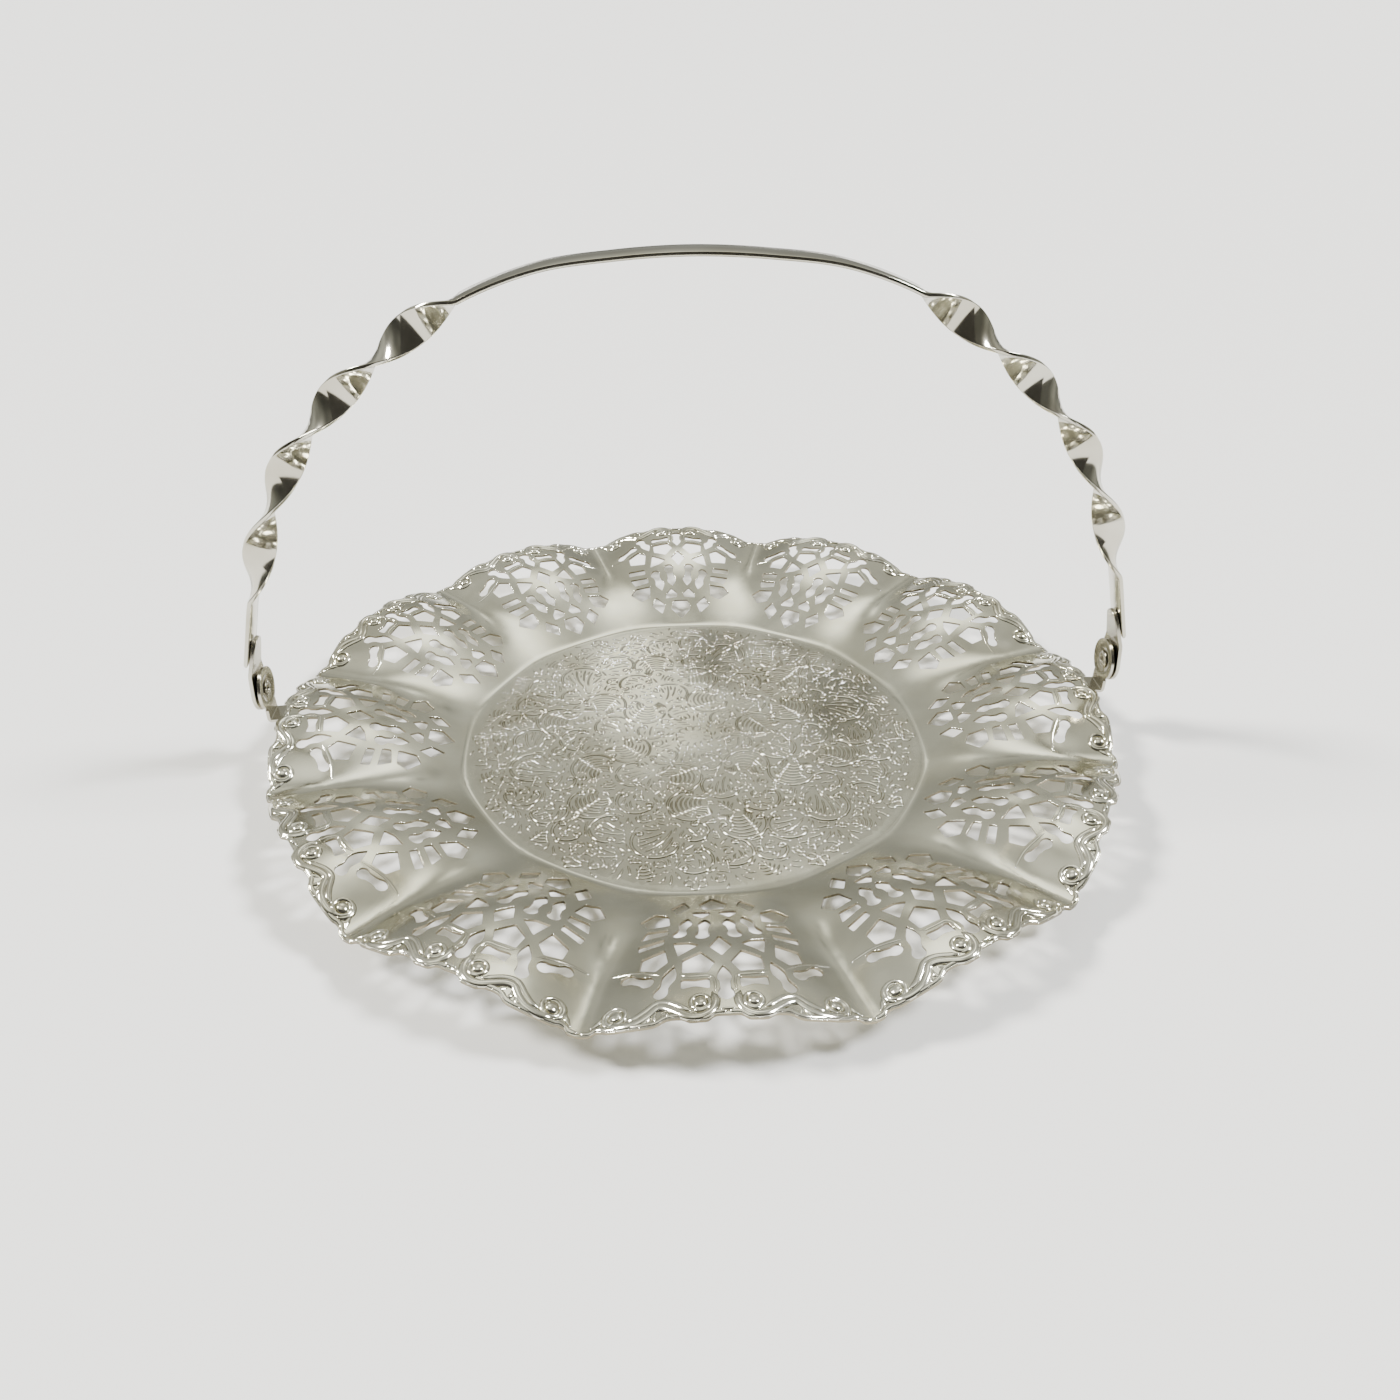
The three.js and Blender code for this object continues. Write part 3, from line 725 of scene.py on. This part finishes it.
def leaves(eye, reach, heading, spread, apart, swirl):
    """Bent lines that part from an eye; shorter ones start between them where there is room."""
    lines = []
    starts = (3, 12, 6, 12)
    for k in range(round(spread / apart) + 1):
        radius, line = starts[k % 4], []
        while radius < reach:
            turned = heading - spread / 2 + apart * k + swirl * math.log(radius / 2)
            line.append(eye + step_to(turned, radius))
            radius += 0.8 * STEP
        lines.append(line)
    return lines


def whirl(centre, size, heading):
    """A curl with bent leaves all round it, longer on the side away from the curl."""
    way = dice.choice((-1, 1))
    eye = centre + step_to(heading, size * 0.35)
    return [ring(eye, 2.0, heading, way * 470, 0.4)] + leaves(eye, 2.3 * size, heading, 348, 10.5, way * 70)


def feather(centre, size, heading):
    """Leaves that spring from a root at the patch's edge."""
    root = centre + step_to(heading, size * 1.2)
    swirl = dice.choice((-30, 30))
    return leaves(root, 3.4 * size, heading + 180 - swirl, 190, 7.5, swirl)


def shell(centre, size, heading):
    """Arcs round an eye at the patch's edge."""
    eye = centre + step_to(heading, size * 0.8)
    return [ring(eye, 0.9 + PITCH * k, heading, 360) for k in range(round(2.4 * size / PITCH))]


def crescents(centre, size, heading):
    """Circles that touch at one point and part from there, like a wave that curls over."""
    way = dice.choice((-1, 1))
    toward = step_to(heading, 1)
    foot = centre + toward * size
    lines = [ring(foot - toward * 1.3, 1.1, heading + 180, way * 380, 0.35)]
    for k in range(round(2.6 * size / PITCH)):
        radius = 2.2 + 0.56 * PITCH * k
        begin = 360 * 1.3 / (math.pi * radius)
        lines.append(ring(foot - toward * radius, radius, heading + way * begin, way * (340 - 2 * begin)))
    return lines


def curl(centre, size, heading):
    turns = (size * 1.4 - 0.6) / PITCH
    return [ring(centre, 0.6, heading, 360 * turns * dice.choice((-1, 1)), size * 1.4)]


def diaper(centre, size, heading):
    """A lattice: two sets of level lines."""
    lines = []
    for way in (38, -38):
        along = step_to(heading + way, 1)
        aside = along.orthogonal()
        for k in range(-8, 9):
            start = centre + aside * (k * 1.2 * PITCH) - along * 1.6 * size
            count = round(3.2 * size / STEP)
            lines.append([start + along * (STEP * j) for j in range(count + 1)])
    return lines


def flower(centre, size, heading):
    lines = [ring(centre, size * 0.17, 0, 330)]
    for k in range(5):
        angle = heading + 72 * k
        lines.append(ring(centre + step_to(angle, size * 0.63), size * 0.34, angle + 190, 340))
    return lines


print("families: whirl, feather, shell, crescents, curl, diaper and flower")

# %% [markdown]
# ## Fill the patches
#
# First come the C-scrolls, the thickest lines: one hugs each large patch. Then every patch is filled
# with a family of leaves. A point belongs to the patch whose circle is nearest, and a line is kept
# only inside its own patch and clear of the scrolls. So every stretch of ground has its own family
# and no two touch, as when an engraver works across the plate. The outermost row is cut to its
# circles, which gives the engraving its leafy edge.

# %% Draw the scrolls, fill the patches and cut the lines
SCROLL_CLEARANCE = 1.08
BORDER = 0.6
EDGE = (whirl, feather, shell, feather, flower)
LARGE = (whirl, whirl, feather, diaper, crescents)
MEDIUM = (whirl, curl, feather, crescents)
SMALL = (flower, curl, shell, feather)


def c_scroll(centre, size, heading):
    """A round back with a curl at each end."""
    strokes = []
    for side in (-1, 1):
        end = heading + 180 - side * 100
        strokes.append(ring(centre, size, heading + 180, -side * 100))
        heart = Vector(centre) + step_to(end, size - 1.15)
        strokes.append(ring(heart, 1.15, end, -side * 420, 0.3))
    return strokes


def neighbours(own):
    """The circles that can share a border with one circle, in its own and the next sixths."""
    near = []
    for centre, size in circles:
        for spot in in_next_sixths(centre):
            if 0.01 < (spot - own[0]).length < own[1] + size + 6:
                near.append((spot, size))
    return near


def keep_inside(lines, own, overhang):
    """Cuts lines where they leave their own patch or meet a scroll; short bits are dropped."""
    near, kept = neighbours(own), []
    for line in lines:
        run = []
        for point in [*line, None]:
            at_home = (point - own[0]).length - own[1] if point else overhang
            if (at_home < overhang and scroll_points.find(point.to_3d())[2] > SCROLL_CLEARANCE
                    and all((point - spot).length - size > at_home + BORDER for spot, size in near)):
                run.append(point)
            else:
                if len(run) > 3:
                    kept.append(run)
                run = []
    return kept


headings = []
for centre, size in circles:
    outward = math.degrees(angle_of(centre))
    headings.append(outward + dice.choice((-120, -70, 70, 120, 180)) + dice.uniform(-15, 15))
scrolls = []
for (centre, size), heading in zip(circles, headings):
    if size > 4 and centre.length > 1:
        scrolls += c_scroll(centre, size - 0.2, heading)
scroll_points = kdtree.KDTree(3 * sum(len(path) for path in scrolls))
for path in scrolls:
    for point in path:
        for copy in in_next_sixths(point):
            scroll_points.insert(copy.to_3d(), 0)
scroll_points.balance()

strokes = []
for number, (own, heading) in enumerate(zip(circles[1:], headings[1:])):
    centre, size = own
    if number < len(edge_row):
        outward = math.degrees(angle_of(centre))
        strokes += keep_inside(EDGE[number % len(EDGE)](centre, size, outward - 150), own, 0.4)
    else:
        family = dice.choice(LARGE if size > 5 else MEDIUM if size > 3.4 else SMALL)
        strokes += keep_inside(family(centre, size, heading), own, 9)
for angle in (-15, 15):
    strokes.append(ring(step_to(angle, 4.6), 1.3, angle + 180, 330))
    strokes.append(ring((0, 0), 1.2, angle, 26))
print("scrolls in a sixth:", len(scrolls) // 4, "other strokes:", len(strokes))

# %% [markdown]
# ## Echo the strokes until no ground is left
#
# Where patches meet, some bare ground remains. An engraver fills it by echoing the nearest line. The
# same is done here: beside every stroke, one spacing away, a new one starts if there's room, runs
# along its neighbours and stops where it would come too close to one.

# %% Add the echo strokes
ROOM = 1.02  # the least distance between two strokes
CELL = 2.0  # the width of a square of the grid that files the strokes by place
# Width and height in mm
SCROLL_LINE = (1.25, 0.3)
STROKE_LINE = (0.95, 0.23)
ground = {}


def directions(path):
    return [heading_at(path, i) for i in range(len(path))]


def note_stroke(path):
    """Files a stroke's points and directions by place, with their copies in the next sixths."""
    for point, along in zip(path, directions(path)):
        for turn in (-SIXTH, 0, SIXTH):
            turned = Matrix.Rotation(turn, 2)
            spot = turned @ point
            ground.setdefault((spot.x // CELL, spot.y // CELL), []).append((spot, turned @ along))


def nearest_stroke(spot):
    """Distance and direction of the nearest stroke within two cells."""
    nearest = (2 * CELL, None)
    for column in range(-2, 3):
        for row in range(-2, 3):
            for point, along in ground.get((spot.x // CELL + column, spot.y // CELL + row), ()):
                gap = (point - spot).length
                if gap < nearest[0]:
                    nearest = (gap, along)
    return nearest


def beyond_edge(spot):
    return spot.length > leafy_edge(angle_of(spot))


def echo(spot):
    """A stroke through a place, along its neighbours, as long as the room allows."""
    way = nearest_stroke(spot)[1]
    halves = []
    for side in (-1, 1):
        at, ahead, half = spot, way * side, []
        for _ in range(6):
            at = at + ahead * STEP
            gap, along = nearest_stroke(at)
            if gap < ROOM or along is None or beyond_edge(at):
                break
            ahead = (ahead + along * math.copysign(1, along.dot(ahead))).normalized()
            half.append(at)
        halves.append(half)
    return halves[0][::-1] + [spot] + halves[1]


for path in scrolls + strokes:
    note_stroke(path)
waiting = [item for path in scrolls + strokes for item in zip(path, directions(path))]
echoes = []
while waiting:
    point, along = waiting.pop(0)
    for side in (-1, 1):
        spot = point + along.orthogonal() * (side * 1.03 * ROOM)
        in_own_sixth = abs(angle_of(spot)) < SIXTH / 2
        if in_own_sixth and not beyond_edge(spot) and nearest_stroke(spot)[0] > ROOM:
            path = echo(spot)
            if len(path) > 3:
                echoes.append(path)
                note_stroke(path)
                waiting += zip(path, directions(path))
strokes += echoes
print("echo strokes in a sixth:", len(echoes))


def make_engraving():
    """Turns the paths into ridges, worn to half their height toward the middle."""
    bm = bmesh.new()
    ridge = ((-0.5, None), (0.5, None), (0, 1))
    for paths, width, height in ((scrolls, *SCROLL_LINE), (strokes, *STROKE_LINE)):
        for path in paths:
            worn = 0.5 + 0.5 * smooth_step(12, 46, path[0].length)
            raised_line(bm, path, width, height * worn, taper=1.1, profile=ridge)
    spin_copies(bm, 6)
    bmesh.ops.recalc_face_normals(bm, faces=bm.faces[:])
    return mesh_object("well_engraving", bm, [engraved_silver])


engraving = make_engraving()
print("engraving triangles:", count_triangles(engraving))

# %% [markdown]
# ## The handle strip
#
# The maker started from a flat strip, clamped it and turned each side by two full turns, then bent
# the arch. A twisted strip is one section carried along a curve while it turns evenly with the
# distance, so the sweep from the rim's relief serves again, with many more steps.

# %% Sweep the handle strip
PIVOT = 25.4
JOINT_GAP = 0.3
LINK_INNER = 132.6
LINK_LENGTH = 18.2
LINK_THICKNESS = 1.2
LINK_LEAN = math.radians(15)
LINK_BEND = 7.0
STRIP_WIDTH = 9
STRIP_THICKNESS = 1.3
STRIP_CORNER = 0.3
STRIP_FOOT = 9.5
ARCH_RISE = 124.8
TWIST_START = 61
TWIST_END = 172
END_SHRINK = 0.25
# Shares of the half span and of the rise
ARCH = [(0, 1), (0.15, 0.992), (0.302, 0.97), (0.463, 0.906), (0.619, 0.797), (0.772, 0.652), (0.884, 0.482),
        (0.962, 0.268)]


def strip_end(up_link):
    """The strip's middle line, a given height up the link plate that it is soldered to."""
    to_middle = LINK_THICKNESS + JOINT_GAP + STRIP_THICKNESS / 2
    along = up_link - LINK_BEND
    return Vector((LINK_INNER - along * math.sin(LINK_LEAN) + to_middle * math.cos(LINK_LEAN), 0,
                   PIVOT + LINK_BEND + along * math.cos(LINK_LEAN) + to_middle * math.sin(LINK_LEAN)))


def even_curve(points, spacing):
    """A centripetal spline through the points, as a list of points an even distance apart."""
    steps = 60
    run = []
    for group in in_fours(points):
        knots = [0.0]
        for a, b in zip(group, group[1:]):
            knots.append(knots[-1] + math.sqrt((b - a).length))
        for k in range(steps):
            t = knots[1] + (knots[2] - knots[1]) * k / steps
            level = group
            # Four points are blended into three, three into two and two into one
            for spans in (((0, 1), (1, 2), (2, 3)), ((0, 2), (1, 3)), ((1, 2),)):
                shares = [(t - knots[i]) / (knots[j] - knots[i]) for i, j in spans]
                level = [a * (1 - share) + b * share for a, b, share in zip(level, level[1:], shares)]
            run.append(level[0])
    run.append(points[-1])
    lengths = running_lengths(run)
    count = round(lengths[-1] / spacing / 2) * 2
    even, at = [], 0
    for k in range(count + 1):
        wanted = lengths[-1] * k / count
        while at < len(lengths) - 2 and lengths[at + 1] < wanted:
            at += 1
        share = (wanted - lengths[at]) / (lengths[at + 1] - lengths[at])
        even.append(run[at].lerp(run[at + 1], share))
    return even, lengths[-1]


def strip_profile(width, thickness, corner, steps=3):
    """Half of the section's corners rounded by arcs, as (across, through) pairs all the way round."""
    profile = []
    for quadrant, (sx, sy) in enumerate(((1, 1), (-1, 1), (-1, -1), (1, -1))):
        for k in range(steps + 1):
            angle = math.radians(90 * quadrant + 90 * k / steps)
            profile.append((sx * (width / 2 - corner) + corner * math.cos(angle),
                            sy * (thickness / 2 - corner) + corner * math.sin(angle)))
    return profile


def make_strip():
    right = [Vector((span * LINK_INNER, 0, PIVOT + rise * ARCH_RISE)) for span, rise in ARCH]
    right += [strip_end(LINK_LENGTH), strip_end(STRIP_FOOT)]
    left = [Vector((-p.x, 0, p.z)) for p in reversed(right[1:])]
    centres, length = even_curve(left + right, 0.8)
    profile = strip_profile(STRIP_WIDTH, STRIP_THICKNESS, STRIP_CORNER)
    sections = []
    for i, centre in enumerate(centres):
        tangent = heading_at(centres, i)
        distance = abs(i / (len(centres) - 1) - 0.5) * length
        twisted = min(max((distance - TWIST_START) / (TWIST_END - TWIST_START), 0), 1)
        across = Matrix.Rotation(-4 * math.pi * twisted, 3, tangent) @ Vector((0, 1, 0))
        through = tangent.cross(across)
        end = min(i, len(centres) - 1 - i)
        shrink = END_SHRINK if end == 0 else 0
        section = []
        for w, t in profile:
            w -= math.copysign(min(shrink, abs(w)), w)
            t -= math.copysign(min(shrink, abs(t)), t)
            section.append((centre + across * w + through * t) * MM)
        sections.append(section)
    bm = bmesh.new()
    sweep(bm, sections)
    bmesh.ops.recalc_face_normals(bm, faces=bm.faces[:])
    return mesh_object("handle_band", bm, [painted_shade_strip_silver])


strip = make_strip()
print("strip triangles:", count_triangles(strip))

# %% [markdown]
# ## The hinges
#
# Under each end of the handle sits a pair of plates. The link plate is soldered to the strip and
# bends upright to end in a round eye. The lug is a small dished ear whose foot is soldered under the
# rim. A hollow rivet, spread into petals at one end, joins them. Each is made once for the right-hand
# side and turned half round for the left, except the rivets, which were set from the same side.

# %% Model the link plates and lugs
EYE = 6.7
TOP_ROUND = 3.7
RIVET_HOLE = 1.8
TURN_STEPS = 48
HALF_BEND = 0.7
LUG_THICKNESS = 1.0
FOOT_WIDTH = 8
FOOT_HEIGHT = 15.3


def pivot_point(x, y, z):
    return Vector((x, y, PIVOT + z)) * MM


def spin_about_pivot(bm, geom):
    bmesh.ops.spin(bm, geom=geom, cent=pivot_point(0, 0, 0), axis=(1, 0, 0), angle=2 * math.pi,
                   steps=TURN_STEPS, use_merge=True)


def arc(radius, start, end, count):
    return [polar(radius, start + (end - start) * (k + 0.5) / count) for k in range(count)]


def link_outline():
    """The link plate's outline about the pivot: a small round top and a large round eye."""
    reach = LINK_LENGTH - TOP_ROUND
    lean = math.asin((EYE - TOP_ROUND) / reach)
    third = TURN_STEPS // 3
    top = [point + Vector((0, reach)) for point in arc(TOP_ROUND, lean, math.pi - lean, third)]
    return top + arc(EYE, math.pi - lean, 2 * math.pi + lean, TURN_STEPS - third)


def make_link(name, turned):
    """A flat plate between its outline and the rivet hole, bent above the eye."""
    bm = bmesh.new()
    outline = link_outline()
    edges = []
    for outer_or_hole in (outline, [point.normalized() * RIVET_HOLE for point in outline]):
        verts = [bm.verts.new(pivot_point(LINK_INNER, *point)) for point in outer_or_hole]
        edges += [bm.edges.new((verts[k - 1], verts[k])) for k in range(TURN_STEPS)]
    bmesh.ops.bridge_loops(bm, edges=edges)
    for height in (LINK_BEND - 0.6, LINK_BEND, LINK_BEND + 0.6, 12):
        cut_at = pivot_point(0, 0, height)
        bmesh.ops.bisect_plane(bm, geom=everything(bm), plane_co=cut_at, plane_no=(0, 0, 1))
    for vert in bm.verts:
        up = vert.co.z / MM - PIVOT - LINK_BEND
        bent = max(up, 0) if abs(up) > HALF_BEND else (up + HALF_BEND) ** 2 / (4 * HALF_BEND)
        vert.co.x -= bent * math.sin(LINK_LEAN) * MM
        vert.co.z -= bent * (1 - math.cos(LINK_LEAN)) * MM
    bm.normal_update()
    bmesh.ops.reverse_faces(bm, faces=[f for f in bm.faces if f.normal.x < 0])
    return finished_plate(bm, name, turned, LINK_THICKNESS, 1)


def finished_plate(bm, name, turned, thickness, side):
    if turned:
        bmesh.ops.rotate(bm, matrix=Matrix.Rotation(math.pi, 3, "Z"), verts=bm.verts[:])
    piece = mesh_object(name, bm, [painted_shade_hinge_silver])
    add_wall(piece, thickness, side)
    soften_edges(piece, 0.22, 3, 40)
    return piece


def make_lug(name, turned):
    """A saucer with a rivet hole, spun about the pivot, and a foot that bends in under the rim."""
    bm = bmesh.new()
    outer = LINK_INNER - JOINT_GAP
    profile = [(RIVET_HOLE, 0), (2.9, 0), (3.5, -0.15), (4.3, -0.45), (5.0, -0.55), (EYE, -0.5)]
    line = [bm.verts.new(pivot_point(outer + x, 0, r)) for r, x in profile]
    spin_about_pivot(bm, line + [bm.edges.new(pair) for pair in zip(line, line[1:])])
    bm.normal_update()
    bmesh.ops.reverse_faces(bm, faces=[f for f in bm.faces if f.normal.x < 0])
    foot_low = FOOT_HEIGHT - PIVOT
    path = [(131.8, -5.9), (131.8, foot_low + 1.2), (131.6, foot_low + 0.4), (131.0, foot_low - 0.1),
            (128.5, foot_low), (124, foot_low)]
    near_side = [bm.verts.new(pivot_point(x, -FOOT_WIDTH / 2, z)) for x, z in path]
    foot_edges = [bm.edges.new(pair) for pair in zip(near_side, near_side[1:])]
    made = bmesh.ops.extrude_edge_only(bm, edges=foot_edges)["geom"]
    far_side = [item for item in made if isinstance(item, bmesh.types.BMVert)]
    bmesh.ops.translate(bm, vec=(0, FOOT_WIDTH * MM, 0), verts=far_side)
    foot = [f for f in bm.faces if all(v in near_side or v in far_side for v in f.verts)]
    bm.normal_update()
    bmesh.ops.reverse_faces(bm, faces=[f for f in foot if f.normal.x < -0.5 or f.normal.z > 0.5])
    return finished_plate(bm, name, turned, LUG_THICKNESS, -1)


links = [make_link("link_plate_right_dressed", False), make_link("link_plate_left_dressed", True)]
lugs = [make_lug("lug_right_dressed", False), make_lug("lug_left_dressed", True)]
print("hinge plates:", [count_triangles(p) for p in links + lugs])

# %% Model the hollow rivets
PETALS = 6
NECK = 1.55


def make_rivet(name, flange_x, clinch_x):
    """A tube along X with a domed flange at one end and six spread petals at the other."""
    bm = bmesh.new()
    flange = [(0.9, -0.1), (1.1, -0.42), (1.6, -0.5), (2.2, -0.38), (2.55, -0.1), (2.6, 0), (1.5, 0)]
    clinch = [(1.5, 0), (2.35, 0.05), (2.4, 0.25), (2.0, 0.45), (1.4, 0.48), (0.95, 0.3), (0.9, -0.2)]
    profile = [(r, flange_x + x) for r, x in flange] + [(r, clinch_x + x) for r, x in clinch]
    line = [bm.verts.new(pivot_point(x, 0, r)) for r, x in profile]
    spin_about_pivot(bm, line + [bm.edges.new((line[k - 1], line[k])) for k in range(len(line))])
    for vert in bm.verts:
        side = Vector((vert.co.y, vert.co.z - PIVOT * MM))
        if vert.co.x > (clinch_x + 0.01) * MM and side.length > 1.6 * MM:
            split = abs(math.cos(PETALS / 2 * angle_of(side)))
            spread = (side.length - NECK * MM) * smooth_step(0.15, 0.7, split)
            pulled = side.normalized() * (NECK * MM + spread)
            vert.co.y, vert.co.z = pulled.x, pulled.y + PIVOT * MM
    bmesh.ops.recalc_face_normals(bm, faces=bm.faces[:])
    return mesh_object(name, bm, [painted_shade_hinge_silver])


rivets = [make_rivet("rivet_right_dressed", 131.0, 134.1), make_rivet("rivet_left_dressed", -134.1, -131.0)]
print("rivets:", [count_triangles(p) for p in rivets])

# %% [markdown]
# ## Put the pieces on the frame
#
# Each piece rides on the CAD body that it belongs to and takes the place of the plain CAD node.
# The engraving and the relief are part of the pressed sheet, so they ride with it.

# %% Ride and replace
for piece in (dish, relief, engraving, *lugs, *rivets):
    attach(piece, "tray")
for piece in (strip, *links):
    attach(piece, "handle")
stands_for = {"dish_sheet": "dish", "handle_band": "handle_strip",
              "link_plate_right_dressed": "link_plate_right", "link_plate_left_dressed": "link_plate_left",
              "lug_right_dressed": "lug_right", "lug_left_dressed": "lug_left",
              "rivet_right_dressed": "eyelet_rivet_right", "rivet_left_dressed": "eyelet_rivet_left"}
for piece in (dish, relief, engraving, strip, *links, *lugs, *rivets):
    if piece.name in stands_for:
        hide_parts(stands_for[piece.name])
print("pieces:", len(stands_for) + 2)

# %% [markdown]
# ## Floor and light
#
# A mirror shows its surroundings, so silver is lit by what it sees. The room is a soft grey-cream
# whose brightness depends on the direction alone. It is darker on the photographer's side, which puts
# the dark bands on the twisted strip, and soft patches of it stand for a window, a skylight, pale
# walls and dark things. Two wide suns, left and right, give the glints and the soft shadows. A black
# cloth in front, which only the silver sees, darkens the faces that look that way. The floor is pale
# and plain.

# %% Build the studio
bm = bmesh.new()
bmesh.ops.create_grid(bm, x_segments=1, y_segments=1, size=40)
floor = mesh_object("floor", bm, [plain_material("pale_studio_floor", "#f4f3f1", 0.9)])


def wide_sun(name, azimuth, elevation, power, width, colour):
    data = bpy.data.lights.new(name, "SUN")
    data.energy = power
    data.angle = math.radians(width)
    data.color = linear(colour)[:3]
    lamp = bpy.data.objects.new(name, data)
    bpy.context.scene.collection.objects.link(lamp)
    lamp.rotation_euler = (0, math.radians(90 - elevation), math.radians(azimuth))


wide_sun("left_light", 168, 44, 5.3, 12, "#fffdf8")
wide_sun("right_light", 4, 47, 4.8, 12, "#fbfcff")

bm = bmesh.new()
bmesh.ops.create_grid(bm, x_segments=1, y_segments=1, size=0.5)
bmesh.ops.rotate(bm, matrix=Matrix.Rotation(math.pi / 2, 3, "X"), verts=bm.verts[:])
bmesh.ops.translate(bm, vec=(0, -0.45, 0.5), verts=bm.verts[:])
flag = mesh_object("black_flag", bm, [plain_material("matt_black_cloth", "#2b2a28", 0.95)])
flag.visible_camera = flag.visible_diffuse = flag.visible_shadow = False

# %% Draw the room that the silver sees
# What stands in the room: azimuth, elevation and half width in degrees, and how bright it is.
# First a window and its glow, the skylight, the ceiling and the two side walls.
BRIGHT_THINGS = ((89.3, 32.5, 5, 2.4), (89, 26, 15, 1.25), (81, 58, 18, 4.6), (230, 82, 24, 3.4),
                 (140, 22, 20, 1.8), (38, 22, 20, 1.8))
DARK_THINGS = ((86, 31, 3, 0.25), (77.5, 33, 3, 0.4), (81, 30, 1.8, 0.4), (92, 46, 10, 0.8),
               (101, 36, 9, 0.8), (74, 38, 7, 0.85))
world = bpy.data.worlds.new("soft_room")
world.use_nodes = True
room = world.node_tree
room.nodes.clear()
direction = add_node(room, "ShaderNodeTexCoord")
toward = (direction, "Generated")
parts = add_node(room, "ShaderNodeSeparateXYZ", {"Vector": toward})
clouds = add_node(room, "ShaderNodeTexNoise", {"Vector": toward}, Scale=1.7, Detail=1.0)
strength = add_node(room, "ShaderNodeMapRange", {"Value": (clouds, "Fac")}, From_Min=0.3, From_Max=0.7,
                    To_Min=0.6, To_Max=1.4)
# Each share goes from one brightness to another while its source goes from low to high
shares = [((parts, "Y"), -0.4, 0.2, 0.14, 0.39), ((parts, "Z"), 0.3, 0.9, 0.85, 1.9)]
for azimuth, elevation, reach, brightness in (*BRIGHT_THINGS, *DARK_THINGS):
    flat = math.cos(math.radians(elevation))
    spot = (*step_to(azimuth, flat), math.sin(math.radians(elevation)))
    apart = add_node(room, "ShaderNodeVectorMath", {"Vector": toward}, operation="DISTANCE")
    apart.inputs[1].default_value = spot
    shares.append(((apart, "Value"), 0.3 * math.radians(reach), math.radians(reach), brightness, 1.0))
for source, low, high, start, end in shares:
    share = add_node(room, "ShaderNodeMapRange", {"Value": source}, interpolation_type="SMOOTHSTEP",
                     From_Min=low, From_Max=high, To_Min=start, To_Max=end)
    product = add_node(room, "ShaderNodeMath", operation="MULTIPLY")
    room.links.new(strength.outputs[0], product.inputs[0])
    room.links.new(share.outputs[0], product.inputs[1])
    strength = product
backdrop = add_node(room, "ShaderNodeBackground", {"Strength": (strength, "Value")})
backdrop.inputs["Color"].default_value = linear("#fcfdf1")
add_node(room, "ShaderNodeOutputWorld", {"Surface": (backdrop, "Background")})
bpy.context.scene.world = world
